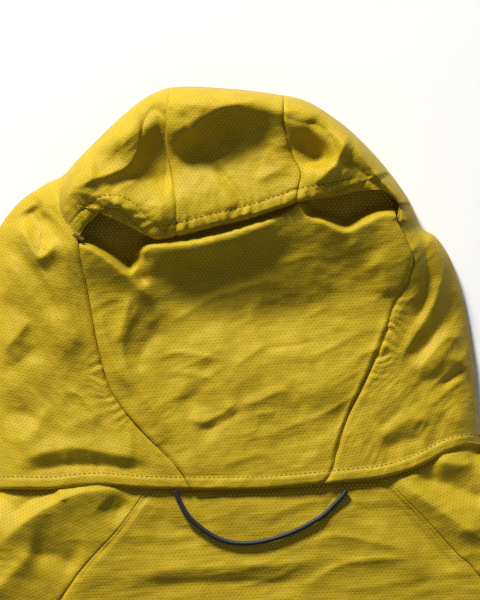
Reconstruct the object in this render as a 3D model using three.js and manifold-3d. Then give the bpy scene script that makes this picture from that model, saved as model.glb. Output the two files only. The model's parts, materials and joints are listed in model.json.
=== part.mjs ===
// A hooded raglan shell jacket lying face down, zipped up, its hood spread flat above the neck seam.
// Millimetres, +Z up, +Y from the hem to the hood. The fabric is two layers: the back layer on top, which drops
// to the front layer along the outline, and the front layer, which rests on the surface with the zip in it.
import * as THREE from "three";
import { mergeVertices } from "three/addons/utils/BufferGeometryUtils.js";
import Module from "manifold-3d";

const wasm = await Module();
wasm.setup();

// Driving dimensions.
const fabric = 0.8; // a panel with its tape and seam allowances
const gap = 0.3; // between pieces that touch
const bodyLength = 640; // neck seam to hem
const chestHalf = 262; // half the width across the chest
const hoodLength = 209; // neck seam to the top of the folded hood
const neckHalf = 130; // half the neck seam laid flat
const neckRise = 14; // the neck seam's ends sit this much higher than its middle
const backNeckHalf = 38; // half the straight middle of the back neck seam
const underarmY = -275;
const cuffWidth = 112;
const cuffOuter = new THREE.Vector2(chestHalf + 168, -596); // the overarm end of a cuff
const crownHalf = 28; // half the width of the hood's centre strip
const slitCorner = new THREE.Vector2(82, 121); // where the hood's rear slit ends
const slitHemY = 137; // the slit's upper hem at the centre strip
const slitLip = 9; // how far the lower back panel reaches under that hem
const visorY = 184; // the face opening's edge at the visor
const chinY = 78; // top of the zip and the face opening's lower end
const bodyLoft = 13; // free height between the layers of the body
const neckLoft = 20;
const slitLoft = 25;
const crownLoft = 44;
const edgeRadius = 26; // how far in from the outline the top layer reaches its full height
const bandWidth = 16; // hem and cuff bands
const bindingWidth = 7; // elastic binding of the face opening and channel of the slit
const loopCord = 2.6; // hang loop diameter
const hemCord = 2.4; // hem drawcord diameter

// Zip stack, from the surface upwards: bail, pull, lower plate, chain, upper plate.
const zip = { plate: 0.8, chain: 1.5, clearance: 0.3, width: 9, length: 11, bail: 0.6, pull: 0.9 };
const pullPlay = 0.25; // room above the pull, inside the bail
const pullLevel = zip.bail + zip.clearance + 0.05;
const plateLevel = pullLevel + zip.pull + pullPlay;
const chainLevel = plateLevel + zip.plate + zip.clearance;
const tape = { thickness: 0.6, inner: 2.8, outer: 15, drop: 0.15 }; // drop: distance below the chain's middle
const tapeLevel = chainLevel + zip.chain / 2 - tape.thickness / 2 - tape.drop;
const zipLift = tapeLevel - gap - fabric; // the front layer rises this much beside a zip
const zipEdge = 8; // fabric edge to zip centreline
const plateau = 16; // the fabric lies flat this far from a zip's centreline, then slopes down
const slope = 14;
const pocket = { x: 150, top: -330, length: 160 };

const group = new THREE.Group();
const origin = new THREE.Group(); // the neck seam's middle, measured from the bounding box's centre
origin.position.y = (bodyLength + bandWidth - hoodLength) / 2;
group.add(origin);

const colours = {
  shell: [0x9c8410, 0.75, 0],
  lining: [0x8a7412, 0.8, 0],
  cord: [0x1b2430, 0.55, 0],
  tape: [0x6f5f12, 0.8, 0],
  chain: [0x4e430f, 0.5, 0],
  metal: [0x2a2c2e, 0.35, 0.8],
  plastic: [0x22262a, 0.5, 0],
};
function material(name) {
  const [color, roughness, metalness] = colours[name];
  return new THREE.MeshStandardMaterial({ color, roughness, metalness });
}

function place(name, geometry, look, parent = origin) {
  const mesh = new THREE.Mesh(geometry, material(look));
  mesh.name = name;
  parent.add(mesh);
  return mesh;
}

// manifold-3d only joins and cuts closed three.js geometries.
function toSolid(geometry) {
  const bare = new THREE.BufferGeometry();
  bare.setAttribute("position", geometry.getAttribute("position"));
  bare.setIndex(geometry.index);
  const merged = mergeVertices(bare, 1e-4);
  const vertProperties = merged.getAttribute("position").array;
  const triVerts = new Uint32Array(merged.index.array);
  return new wasm.Manifold(new wasm.Mesh({ numProp: 3, vertProperties, triVerts }));
}
function toGeometry(solid) {
  const mesh = solid.getMesh();
  const geometry = new THREE.BufferGeometry();
  geometry.setAttribute("position", new THREE.BufferAttribute(new Float32Array(mesh.vertProperties), 3));
  geometry.setIndex(new THREE.BufferAttribute(new Uint32Array(mesh.triVerts), 1));
  return geometry;
}
const joined = (...pieces) => toGeometry(pieces.map(toSolid).reduce((a, b) => a.add(b)));
const cut = (piece, ...tools) => toGeometry(tools.map(toSolid).reduce((a, b) => a.subtract(b), toSolid(piece)));

function box(x0, x1, y0, y1, z0, z1) {
  const made = new THREE.BoxGeometry(x1 - x0, y1 - y0, z1 - z0);
  return made.translate((x0 + x1) / 2, (y0 + y1) / 2, (z0 + z1) / 2);
}
function bar(radius, length, sides = 12) {
  return new THREE.CylinderGeometry(radius, radius, length, sides).rotateZ(Math.PI / 2);
}
function tube(points, diameter, sides, steps) {
  const section = new THREE.Shape();
  for (let i = 0; i < sides; i++) {
    const turn = (2 * Math.PI * i) / sides;
    section[i ? "lineTo" : "moveTo"]((diameter / 2) * Math.cos(turn), (diameter / 2) * Math.sin(turn));
  }
  const extrudePath = new THREE.CatmullRomCurve3(points);
  return new THREE.ExtrudeGeometry(section, { steps, extrudePath, bevelEnabled: false });
}

const smooth = (low, high, value) => THREE.MathUtils.smoothstep(value, low, high);
const points = (...pairs) => pairs.map(([x, y]) => new THREE.Vector2(x, y));
const mirror = (line, side) => line.map((p) => new THREE.Vector2(p.x * side, p.y));

// The right half's outline. The neck corner parts the hood from the sleeve.
const neckCorner = [neckHalf, neckRise];
const cuffAcross = new THREE.Vector2(0.94, 0.35).normalize(); // from the underarm side to the overarm side
const cuffAlong = new THREE.Vector2(cuffAcross.y, -cuffAcross.x);
const cuffInner = cuffOuter.clone().addScaledVector(cuffAcross, -cuffWidth);
const pastCuff = (p) => p.clone().addScaledVector(cuffAlong, bandWidth);
const overarm = points(
  neckCorner, [193, -22], [232, -72], [chestHalf + 13, -180], [chestHalf + 84, -370], cuffOuter.toArray());
const crownCorner = [crownHalf, hoodLength - 2];
// The hood lies pushed over to the left, so that side spreads wider; both lines are given for the right.
const hoodSide = {
  left: points(
    neckCorner, [137, 55], [139, 95], [135, 128], [122, 146], [98, 162], [83, 177], [58, 201], crownCorner),
  right: points(neckCorner, [127, 60], [120, 100], [108, 128], [95, 151], [79, 169], [57, 188], crownCorner),
};
const raglan = points([backNeckHalf, 0], [92, -64], [150, -136], [chestHalf, underarmY]);
const underarm = [chestHalf, underarmY];
const elbowInner = [chestHalf + 30, -456];
const topEdge = points(crownCorner, [0, hoodLength]);
const innerLine = points(elbowInner, underarm, [chestHalf, -bodyLength - bandWidth]);
const edges = (hoodLine) =>
  [topEdge, hoodLine, [...overarm, pastCuff(cuffOuter)], [pastCuff(cuffInner), cuffInner, ...innerLine]];
const outline = { left: edges(hoodSide.left), right: edges(hoodSide.right) };

function toSegment(x, y, a, b) {
  const t = THREE.MathUtils.clamp(
    ((x - a.x) * (b.x - a.x) + (y - a.y) * (b.y - a.y)) / a.distanceToSquared(b), 0, 1);
  return Math.hypot(x - a.x - t * (b.x - a.x), y - a.y - t * (b.y - a.y));
}
function toOutline(x, y) {
  let least = Infinity;
  for (const line of x < 0 ? outline.left : outline.right)
    for (let i = 1; i < line.length; i++) least = Math.min(least, toSegment(Math.abs(x), y, line[i - 1], line[i]));
  return least;
}
function swell(distance, radius) {
  const inward = Math.max(0, 1 - distance / radius);
  return Math.sqrt(1 - inward * inward);
}
// Heights of the lower face of each top-layer piece.
const seatLevel = fabric + gap;
function bodyLevel(x, y) {
  const loft = bodyLoft + (neckLoft - bodyLoft) * smooth(-160, 0, y) + (slitLoft - neckLoft) * smooth(0, 120, y);
  return seatLevel + loft * swell(toOutline(x, y), edgeRadius);
}
function crownLevel(x, y) {
  const raised = smooth(0, 42, Math.hypot(Math.abs(x) - slitCorner.x, y - slitCorner.y));
  const above = y > slitCorner.y - 2 ? raised : 0;
  const loft = slitLoft + (crownLoft - slitLoft) * above;
  return y < slitCorner.y - 2
    ? bodyLevel(x, y)
    : seatLevel + loft * swell(toOutline(x, y), edgeRadius + 22 * above);
}
// Height of the lower face of the front layer, which rises beside the three zips.
function frontLevel(x, y) {
  const beside = (distance) => 1 - smooth(plateau, plateau + slope, distance);
  const aboveChin = smooth(chinY + 20, chinY + 50, y);
  const fromMain = beside(Math.abs(x)) * (1 - aboveChin);
  const along = THREE.MathUtils.clamp(y, pocket.top - pocket.length, pocket.top);
  const fromPocket = beside(Math.hypot(Math.abs(x) - pocket.x, y - along));
  return zipLift * Math.max(fromMain, fromPocket);
}

// A closed solid between two grids of points with the same rows and columns.
function between(outer, inner) {
  const rows = outer.length;
  const columns = outer[0].length;
  const positions = [...outer.flat(), ...inner.flat()].flatMap((p) => p.toArray());
  const at = (layer, r, c) => layer * rows * columns + r * columns + c;
  const index = [];
  const quad = (a, b, c, d) => index.push(a, b, c, a, c, d);
  for (let r = 0; r + 1 < rows; r++)
    for (let c = 0; c + 1 < columns; c++) {
      quad(at(0, r, c), at(0, r, c + 1), at(0, r + 1, c + 1), at(0, r + 1, c));
      quad(at(1, r, c), at(1, r + 1, c), at(1, r + 1, c + 1), at(1, r, c + 1));
    }
  for (let c = 0; c + 1 < columns; c++) {
    quad(at(0, 0, c), at(1, 0, c), at(1, 0, c + 1), at(0, 0, c + 1));
    quad(at(0, rows - 1, c), at(0, rows - 1, c + 1), at(1, rows - 1, c + 1), at(1, rows - 1, c));
  }
  for (let r = 0; r + 1 < rows; r++) {
    quad(at(0, r, 0), at(0, r + 1, 0), at(1, r + 1, 0), at(1, r, 0));
    quad(at(0, r, columns - 1), at(1, r, columns - 1), at(1, r + 1, columns - 1), at(0, r + 1, columns - 1));
  }
  const made = new THREE.BufferGeometry();
  made.setAttribute("position", new THREE.Float32BufferAttribute(positions, 3));
  made.setIndex(index);
  let volume = 0;
  const [a, b, c] = [new THREE.Vector3(), new THREE.Vector3(), new THREE.Vector3()];
  const position = made.getAttribute("position");
  for (let i = 0; i < index.length; i += 3) {
    a.fromBufferAttribute(position, index[i]);
    b.fromBufferAttribute(position, index[i + 1]);
    c.fromBufferAttribute(position, index[i + 2]);
    volume += a.dot(b.cross(c));
  }
  if (volume < 0)
    made.setIndex(index.map((v, i) => index[i % 3 === 1 ? i + 1 : i % 3 === 2 ? i - 1 : i]));
  return made;
}

const along = (line, t) => {
  const at = t * (line.length - 1);
  const i = Math.min(Math.floor(at), line.length - 2);
  return line[i].clone().lerp(line[i + 1], at - i);
};
const evenly = (n) => Array.from({ length: n + 1 }, (_, i) => i / n);

// A single-layer panel between two side lines, given from its upper end down; level is its lower face's height.
function sheet(left, right, rows, columns, level) {
  const lower = rows.map((v) =>
    columns.map((u) => {
      const p = along(left, v).lerp(along(right, v), u);
      return new THREE.Vector3(p.x, p.y, level(p.x, p.y));
    }));
  const upper = lower.map((row) => row.map((p) => p.clone().setZ(p.z + fabric)));
  return between(upper, lower);
}

// A panel that folds round the outline, from its edge on the top layer to its edge on the front layer.
const crowded = [0, 0.12, 0.35, 0.6, 0.78, 0.9, 0.97, 1]; // columns gather towards the fold
function folded(topEdge, fold, frontEdge, rows, topLevel, lowLevel, columns = crowded) {
  const outer = [];
  const inner = [];
  for (const v of rows) {
    const [start, turn, finish] = [along(topEdge, v), along(fold, v), along(frontEdge, v)];
    const inset = turn.clone().sub(start).setLength(fabric);
    const over = columns.map((u) => start.clone().lerp(turn, u));
    const under = [...columns].reverse().map((u) => finish.clone().lerp(turn, u));
    const pulled = (p, u) => p.clone().sub(inset.clone().multiplyScalar(u * u));
    outer.push([
      ...over.map((p) => new THREE.Vector3(p.x, p.y, topLevel(p.x, p.y) + fabric)),
      ...under.map((p) => new THREE.Vector3(p.x, p.y, lowLevel(p.x, p.y))),
    ]);
    const topIn = over.map((p, i) => pulled(p, columns[i]));
    const lowIn = under.map((p, i) => pulled(p, columns[columns.length - 1 - i]));
    inner.push([
      ...topIn.map((p) => new THREE.Vector3(p.x, p.y, topLevel(p.x, p.y))),
      ...lowIn.map((p) => new THREE.Vector3(p.x, p.y, lowLevel(p.x, p.y) + fabric)),
    ]);
  }
  return between(outer, inner);
}

// ---- Hood -------------------------------------------------------------------------------------------------
const shifted = (line, dx, dy) => line.map((p) => new THREE.Vector2(p.x + dx, p.y + dy));
const backSeam = points([backNeckHalf, 0], [52, 48], [67, 88], slitCorner.toArray());
const slitHem = points(
  slitCorner.toArray(), [74, 128], [60, slitHemY - 4], [44, slitHemY - 1], [crownHalf, slitHemY]);
const faceEdge = points([zipEdge, 0], [zipEdge, 45], [zipEdge + 1, chinY], [58, 98], [70, 125], [68, 150],
  [50, 172], [crownHalf, visorY]);
const seamGap = gap / 2;
const hoodRows = evenly(21);

for (const side of [-1, 1]) {
  const top = shifted([...backSeam, ...slitHem.slice(1)], seamGap, seamGap);
  const fold = shifted(side < 0 ? hoodSide.left : hoodSide.right, 0, seamGap);
  fold[fold.length - 1].x += seamGap;
  const front = shifted(faceEdge, seamGap, seamGap);
  front[0].y = neckRise * (zipEdge / neckHalf) + seamGap;
  place(side < 0 ? "hood_side_left" : "hood_side_right",
    folded(mirror(top, side), mirror(fold, side), mirror(front, side), hoodRows, crownLevel, frontLevel), "shell");
}

const lipHalf = 52;
const lowerBack = [...backSeam, new THREE.Vector2(lipHalf, slitHemY + slitLip)];
const lowerBackEdge = shifted(lowerBack, -seamGap, seamGap);
const lowerLevel = (x, y) => bodyLevel(x, y) - 2 * smooth(110, 140, y);
place("hood_lower_back",
  sheet(mirror(lowerBackEdge, -1), lowerBackEdge, evenly(16), evenly(10), lowerLevel), "shell");

const across = (half, y, bow = 0) => points([-half, y], [0, y + bow], [half, y]);
place("hood_centre_strip",
  folded(across(crownHalf - seamGap, slitHemY), across(crownHalf - seamGap, hoodLength - 2, 2),
    across(crownHalf - seamGap, visorY), evenly(4), crownLevel, frontLevel), "shell");

// The elastic channel along the slit's upper hem, folded under it.
const channelEdge = slitHem.slice(2);
const channelTop = [...mirror(channelEdge, -1), ...[...channelEdge].reverse()];
const channelHigh = channelTop.map((p) => new THREE.Vector2(p.x * 0.96, p.y + bindingWidth));
const channelLevel = (x, y) => crownLevel(x, y) - fabric - 4 * gap;
place("slit_elastic_channel",
  sheet(shifted(channelTop, 0, seamGap), channelHigh, evenly(16), evenly(2), channelLevel), "shell");

// Elastic binding of the face opening, inside the edge of the side panels and the visor.
const faceLine = faceEdge.slice(2);
const faceOuter = [...mirror(faceLine, -1), ...[...faceLine].reverse()].map(
  (p) => p.clone().sub(new THREE.Vector2(0, (chinY + visorY) / 2)).multiplyScalar(0.985)
    .add(new THREE.Vector2(0, (chinY + visorY) / 2)));
const faceInner = faceOuter.map(
  (p) => p.clone().sub(new THREE.Vector2(0, (chinY + visorY) / 2)).multiplyScalar(1 - bindingWidth / 60)
    .add(new THREE.Vector2(0, (chinY + visorY) / 2)));
place("face_binding",
  sheet(faceOuter, faceInner, evenly(26), evenly(1), frontLevel), "shell");

// ---- Body and sleeves -------------------------------------------------------------------------------------
const hemY = -bodyLength;
const sideSeam = points(underarm, [chestHalf, (underarmY + hemY) / 2], [chestHalf, hemY]);
const backEdge = shifted([...raglan, ...sideSeam.slice(1)], -seamGap, -seamGap);
const bodyRows = evenly(15);
const backColumns = [0, 0.03, 0.07, 0.13, 0.3, 0.5, 0.7, 0.87, 0.93, 0.97, 1];
place("back_panel", sheet(mirror(backEdge, -1), backEdge, bodyRows, backColumns, bodyLevel), "shell");

const frontNeck = (x) => neckRise * (x / neckHalf);
const frontRaglan = points([70, frontNeck(70)], [110, -60], [165, -140], underarm);
const pocketEdge = zipEdge - 2; // pocket zips show a little less tape
const pocketEnd = pocket.top - pocket.length;
const ramps = [plateau + slope, plateau + slope / 2, plateau];
// Grid lines follow each zip's flat margin, so the panel really is flat there.
const frontStops = [zipEdge, plateau, plateau + slope / 2, plateau + slope, 75,
  ...ramps.map((d) => pocket.x - d), ...[...ramps].reverse().map((d) => pocket.x + d), 220, chestHalf];
const raglanShare = (frontRaglan.length - 1) / (frontRaglan.length + 1);
const rowAt = (y) => raglanShare + (1 - raglanShare) * ((y - underarmY) / (hemY - underarmY));
const frontRows = [...evenly(6).map((v) => v * raglanShare), ...ramps.map((d) => rowAt(pocket.top + d)),
  rowAt((pocket.top + pocketEnd) / 2), ...[...ramps].reverse().map((d) => rowAt(pocketEnd - d)), rowAt(-580), 1];
for (const side of [-1, 1]) {
  const outer = shifted([...frontRaglan, ...sideSeam.slice(1)], -seamGap, -seamGap);
  const inner = outer.map((p, i) => new THREE.Vector2(zipEdge, i ? p.y : frontNeck(zipEdge) - seamGap));
  const whole = sheet(mirror(inner, side), mirror(outer, side), frontRows,
    frontStops.map((x) => (x - zipEdge) / (chestHalf - zipEdge)), frontLevel);
  const slot = box(side * pocket.x - pocketEdge, side * pocket.x + pocketEdge, pocketEnd, pocket.top, -5, 20);
  place(side < 0 ? "front_panel_left" : "front_panel_right", cut(whole, slot), "shell");

  const toCuff = points(elbowInner, cuffInner.toArray());
  const seam = shifted([...raglan, ...toCuff], seamGap, -seamGap);
  const frontSeam = shifted([...frontRaglan, ...toCuff], seamGap, -seamGap);
  place(side < 0 ? "sleeve_left" : "sleeve_right",
    folded(mirror(seam, side), mirror(shifted(overarm, 0, -seamGap), side), mirror(frontSeam, side),
      evenly(20), bodyLevel, frontLevel), "shell");
}

// ---- Neck, hem and cuffs ----------------------------------------------------------------------------------
const tapeHalf = 108;
const neckAt = (x) => neckRise * Math.max(0, (Math.abs(x) - backNeckHalf) / (neckHalf - backNeckHalf));
const neckTapeStops = [-tapeHalf, -backNeckHalf, 0, backNeckHalf, tapeHalf];
const neckTapeLine = neckTapeStops.map((x) => new THREE.Vector2(x, neckAt(x)));
place("neck_tape",
  sheet(shifted(neckTapeLine, 0, 1), shifted(neckTapeLine, 0, 10), evenly(12), evenly(1),
    (x, y) => bodyLevel(x, y) - fabric - 2 * gap), "tape");

// The hang loop leaves the neck seam, lies on the back in one slack bow and goes back into the seam.
const loopRoute = [
  [-39, -2, 23.3], [-37.8, -5, 23.3], [-36, -9, 23.2], [-31.2, -16.1, 23.1], [-23.4, -22.9, 22.9],
  [-14.6, -27.6, 22.7], [-5.2, -29.4, 22.7], [5.2, -28.6, 22.7], [15.6, -26, 22.8], [26, -21.8, 22.9],
  [35.4, -16.6, 23.1], [40, -13.2, 23.1], [43.2, -9.9, 23.2], [46.2, -6.8, 23.2], [48.4, -4.4, 23.3], [50, -2, 23.3],
].map(([x, y, z]) => new THREE.Vector3(x, y, z));
place("hang_loop", tube(loopRoute, loopCord, 8, 30), "cord");

const hemTop = hemY - gap;
const hemEnd = hemY - bandWidth;
const hemSide = chestHalf - seamGap;
place("hem_band_back",
  sheet(points([-hemSide, hemTop], [-hemSide, hemEnd]), points([hemSide, hemTop], [hemSide, hemEnd]),
    evenly(1), backColumns, bodyLevel), "shell");
for (const side of [-1, 1])
  place(side < 0 ? "hem_band_front_left" : "hem_band_front_right",
    sheet(mirror(points([zipEdge, hemTop], [zipEdge, hemEnd]), side),
      mirror(points([hemSide, hemTop], [hemSide, hemEnd]), side), evenly(1), [0, 0.01, 0.03, 0.06, 0.5, 1],
      frontLevel), "shell");

// The drawcord runs in a casing under the back hem band, and through a spring lock at each side.
const lock = { x: 222, width: 12, length: 14, height: 8, wall: 1.2, bore: 3.2, button: 3, travel: 2.5 };
const hemCordY = hemY - bandWidth / 2;
const underBand = seatLevel + bodyLoft - gap;
const hemCordZ = underBand - lock.height / 2;
const casingHalf = lock.x - lock.width / 2 - 6;
const casingFloor = hemCordZ - hemCord / 2 - gap - fabric;
place("hem_casing", cut(
  box(-casingHalf, casingHalf, hemEnd, hemTop, casingFloor, underBand),
  box(-casingHalf - 1, casingHalf + 1, hemEnd + fabric, hemTop - fabric, casingFloor + fabric, underBand - fabric),
), "lining");
const hemCordHalf = lock.x + lock.width / 2 + 5;
place("hem_drawcord", bar(hemCord / 2, 2 * hemCordHalf, 8).translate(0, hemCordY, hemCordZ), "cord");

function cordLock(side) {
  const name = side < 0 ? "left" : "right";
  const at = new THREE.Group();
  at.position.set(side * lock.x, hemCordY, hemCordZ);
  origin.add(at);
  const [halfX, halfY, halfZ] = [lock.width / 2, lock.length / 2, lock.height / 2];
  const [insideX, insideZ] = [halfX - lock.wall, halfZ - lock.wall];
  const cavity = box(-insideX, insideX, -halfY + lock.wall, halfY + 1, -insideZ, insideZ);
  place("cord_lock_body_" + name,
    cut(box(-halfX, halfX, -halfY, halfY, -halfZ, halfZ), cavity, bar(lock.bore / 2, 3 * lock.width)),
    "plastic", at);
  const inner = -halfY + lock.wall + lock.travel + gap;
  const plunger = box(-insideX + gap, insideX - gap, inner, halfY + lock.travel + lock.button,
    -insideZ + gap, insideZ - gap);
  const eyeHalf = hemCord / 2 + 2 * gap;
  const eye = box(-lock.width, lock.width, -eyeHalf, eyeHalf + lock.travel, -eyeHalf, eyeHalf);
  place("cord_lock_button_" + name, cut(plunger, eye), "plastic", at);
}

// A cuff: a band round the sleeve's end, and a peel-back tab lying on its hook patch.
const tab = { start: 42, length: 46, width: 18, thickness: 1.2, patch: 0.5, margin: 2 };
function cuff(side) {
  const name = side < 0 ? "left" : "right";
  const from = (p, d) => p.clone().addScaledVector(cuffAlong, d);
  const inside = cuffInner.clone().addScaledVector(cuffAcross, seamGap);
  const underarmSide = mirror([from(inside, gap), from(inside, bandWidth)], side);
  const overarmSide = mirror([from(cuffOuter, gap), from(cuffOuter, bandWidth)], side);
  place("cuff_band_" + name,
    folded(underarmSide, overarmSide, underarmSide, evenly(1), bodyLevel, frontLevel), "shell");
  const onBand = new THREE.Group();
  const corner = from(cuffInner, bandWidth - tab.width - tab.margin);
  onBand.position.set(side * corner.x, corner.y, seatLevel + bodyLoft + fabric + gap);
  onBand.rotation.z = side * Math.atan2(cuffAcross.y, cuffAcross.x);
  origin.add(onBand);
  const span = (a, b, y0, y1, z0, z1) =>
    box(Math.min(side * a, side * b), Math.max(side * a, side * b), y0, y1, z0, z1);
  const patchEnd = tab.start + tab.length - 2 * tab.margin;
  place("cuff_patch_" + name, span(tab.start, patchEnd, -tab.width + 1, -1, 0, tab.patch), "lining", onBand);
  const under = tab.patch + gap;
  place("cuff_tab_" + name,
    span(tab.start - tab.margin, tab.start + tab.length, -tab.width, 0, under, under + tab.thickness),
    "shell", onBand);
}
for (const side of [-1, 1]) {
  cordLock(side);
  cuff(side);
}

// ---- Zips -------------------------------------------------------------------------------------------------
// A zip runs along its group's Y axis, from its top stop at 0 down to -length, with its outside face down.
const teeth = { inner: 0.6, outer: 2.5 };
const upperPlate = chainLevel + zip.chain + zip.clearance;
const slider = {
  flange: 0.6, // side walls, above and below the tape
  tapeRoom: 0.2,
  weld: 0.1, // overlap of joined pieces
  wedge: { half: 0.35, start: -0.4, end: -2.4 }, // joins the two plates between the rows of teeth
  bail: { half: 0.8, low: 0.15, start: -2, end: -8.6, post: 0.8 },
};

function zipSlider(name, parent) {
  const half = zip.width / 2;
  const tapeLow = tapeLevel - slider.tapeRoom;
  const tapeHigh = tapeLevel + tape.thickness + slider.tapeRoom;
  const { wedge, bail, weld } = slider;
  const lowerTop = plateLevel + weld;
  const upperLow = upperPlate + weld;
  const plates = [
    box(-half, half, -zip.length, 0, plateLevel, plateLevel + zip.plate),
    box(-half, half, -zip.length, 0, upperPlate, upperPlate + zip.plate),
    box(-wedge.half, wedge.half, wedge.end, wedge.start, lowerTop, upperLow),
    box(-bail.half, bail.half, bail.end, bail.start, bail.low, bail.low + zip.bail),
    box(-bail.half, bail.half, bail.start - bail.post, bail.start, bail.low, lowerTop),
    box(-bail.half, bail.half, bail.end, bail.end + bail.post, bail.low, lowerTop),
  ];
  for (const side of [-1, 1]) {
    const [x0, x1] = side < 0 ? [-half, -half + slider.flange] : [half - slider.flange, half];
    plates.push(
      box(x0, x1, -zip.length, 0, plateLevel, tapeLow),
      box(x0, x1, -zip.length, 0, tapeHigh, upperLow));
  }
  return place(name, joined(...plates), "metal", parent);
}
const pull = { pivotY: -7, half: 2.6, arm: 1.4, window: 5, mainLength: 26, pocketLength: 12 };
function zipPull(name, parent, length) {
  const { pivotY, half, arm, window } = pull;
  const middle = (zip.bail + slider.bail.low + plateLevel) / 2;
  const [low, high] = [middle - zip.pull / 2, middle + zip.pull / 2];
  const pieces = [
    bar(zip.pull / 2, 2 * half).translate(0, pivotY, middle), // lies inside the bail's lower end
    box(-half, arm - half, pivotY - window, pivotY, low, high),
    box(half - arm, half, pivotY - window, pivotY, low, high),
    box(-half, half, pivotY - length, pivotY - window + 1, low, high),
  ];
  return place(name, joined(...pieces), "metal", parent);
}
const teethBar = (side, y0, y1) => box(
  Math.min(side * teeth.inner, side * teeth.outer), Math.max(side * teeth.inner, side * teeth.outer),
  y0, y1, chainLevel, chainLevel + zip.chain);
const tapeBar = (side, y0, y1) => box(
  Math.min(side * tape.inner, side * tape.outer), Math.max(side * tape.inner, side * tape.outer),
  y0, y1, tapeLevel, tapeLevel + tape.thickness);

// The main zip is closed up to the neck seam; above it the two halves of the collar lie apart.
const mainZip = new THREE.Group();
const mainZipDrop = 3; // its top stop lies this far below the neck seam
mainZip.position.y = -mainZipDrop;
origin.add(mainZip);
const mainLength = bodyLength + bandWidth - mainZipDrop;
const pinBox = { length: 9, proud: 0.6 };
const tapeEnd = 2; // the tape runs on past the top tooth
const collarStart = 6;
const chainGap = 0.2;
for (const side of [-1, 1]) {
  const name = side < 0 ? "left" : "right";
  place("main_zip_tape_" + name, tapeBar(side, -mainLength, tapeEnd), "tape", mainZip);
  place("main_zip_teeth_" + name,
    teethBar(side, -mainLength + pinBox.length + gap, -chainGap), "chain", mainZip);
  place("collar_zip_tape_" + name, tapeBar(side, collarStart, chinY), "tape", mainZip);
  place("collar_zip_teeth_" + name, teethBar(side, collarStart, chinY - mainZipDrop), "chain", mainZip);
}
place("main_zip_box", box(-teeth.outer, teeth.outer, -mainLength, -mainLength + pinBox.length,
  chainLevel - pinBox.proud, chainLevel + zip.chain + pinBox.proud), "metal", mainZip);
zipSlider("main_zip_slider", mainZip);
zipPull("main_zip_pull", mainZip, pull.mainLength);

// The inner storm flap is sewn to the left tape and bridges the zip above its slider.
const overSlider = upperPlate + zip.plate + gap;
const overTape = tapeLevel + tape.thickness + gap;
const flapLine = points([-tape.outer, overTape], [-10, overTape], [-7, overSlider], [tape.outer, overSlider]);
const flapShape = new THREE.Shape([...flapLine, ...shifted(flapLine, 0, fabric).reverse()]);
place("storm_flap",
  new THREE.ExtrudeGeometry(flapShape, { depth: bodyLength - 8, bevelEnabled: false }).rotateX(Math.PI / 2)
    .translate(0, -6, 0), "lining");

// Hand pockets: a short closed-end zip in each front panel and a bag behind it.
const pocketStop = 4; // length of the bottom stop, and of the tape's reach past each end of the chain
const bagInside = 60; // how far the bag reaches from the zip towards the main zip, and towards the side seam
const bagOutside = 88;
for (const side of [-1, 1]) {
  const name = side < 0 ? "left" : "right";
  const at = new THREE.Group();
  at.position.set(side * pocket.x, pocket.top - pocketStop, 0);
  origin.add(at);
  const length = pocket.length - 2 * pocketStop;
  const rim = box(-tape.outer, tape.outer, -length - 2 * pocketStop, 2 * pocketStop,
    tapeLevel, tapeLevel + tape.thickness);
  const slot = box(-tape.inner, tape.inner, -length - 2, 3, 0, tapeLevel + 2);
  place("pocket_zip_tape_" + name, cut(rim, slot), "tape", at);
  place("pocket_zip_chain_" + name,
    joined(teethBar(-1, -length, -chainGap), teethBar(1, -length, -chainGap),
      box(-teeth.outer, teeth.outer, -length - 1, -length + pocketStop, chainLevel, chainLevel + zip.chain)),
    "chain", at);
  zipSlider("pocket_zip_slider_" + name, at);
  zipPull("pocket_zip_pull_" + name, at, pull.pocketLength);
  // The bag's border is sewn flat to the panel beyond the raised margin of the zip.
  const hem = 8;
  const reach = plateau + slope + hem;
  const bag = {
    inner: pocket.x - bagInside, outer: pocket.x + bagOutside, top: pocket.top + reach, bottom: pocketEnd - reach,
  };
  const flat = fabric + gap;
  const bagLevel = (x, y) => {
    const inset = Math.min(Math.abs(x) - bag.inner, bag.outer - Math.abs(x), bag.top - y, y - bag.bottom);
    return flat + (overSlider - flat) * THREE.MathUtils.clamp((inset - hem) / slope, 0, 1);
  };
  const share = (size) => [0, hem, hem + slope, size / 2, size - hem - slope, size - hem, size].map((d) => d / size);
  place("pocket_bag_" + name,
    sheet(mirror(points([bag.inner, bag.top], [bag.inner, bag.bottom]), side),
      mirror(points([bag.outer, bag.top], [bag.outer, bag.bottom]), side),
      share(bag.top - bag.bottom), share(bag.outer - bag.inner), bagLevel), "lining");
}

// Bartacks where the slit's hem meets the back seams, just clear of the slope there.
const bartack = { length: 6, width: 2, lift: 1.1 };
for (const side of [-1, 1]) {
  const [x, y] = [side * (slitCorner.x + 2.5), slitCorner.y + 1];
  const seat = crownLevel(x, y) + fabric + bartack.lift;
  place(side < 0 ? "slit_bartack_left" : "slit_bartack_right",
    box(x - bartack.length / 2, x + bartack.length / 2, y - bartack.width / 2, y + bartack.width / 2,
      seat, seat + fabric), "lining");
}

export default group;
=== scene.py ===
import json
import math

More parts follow.
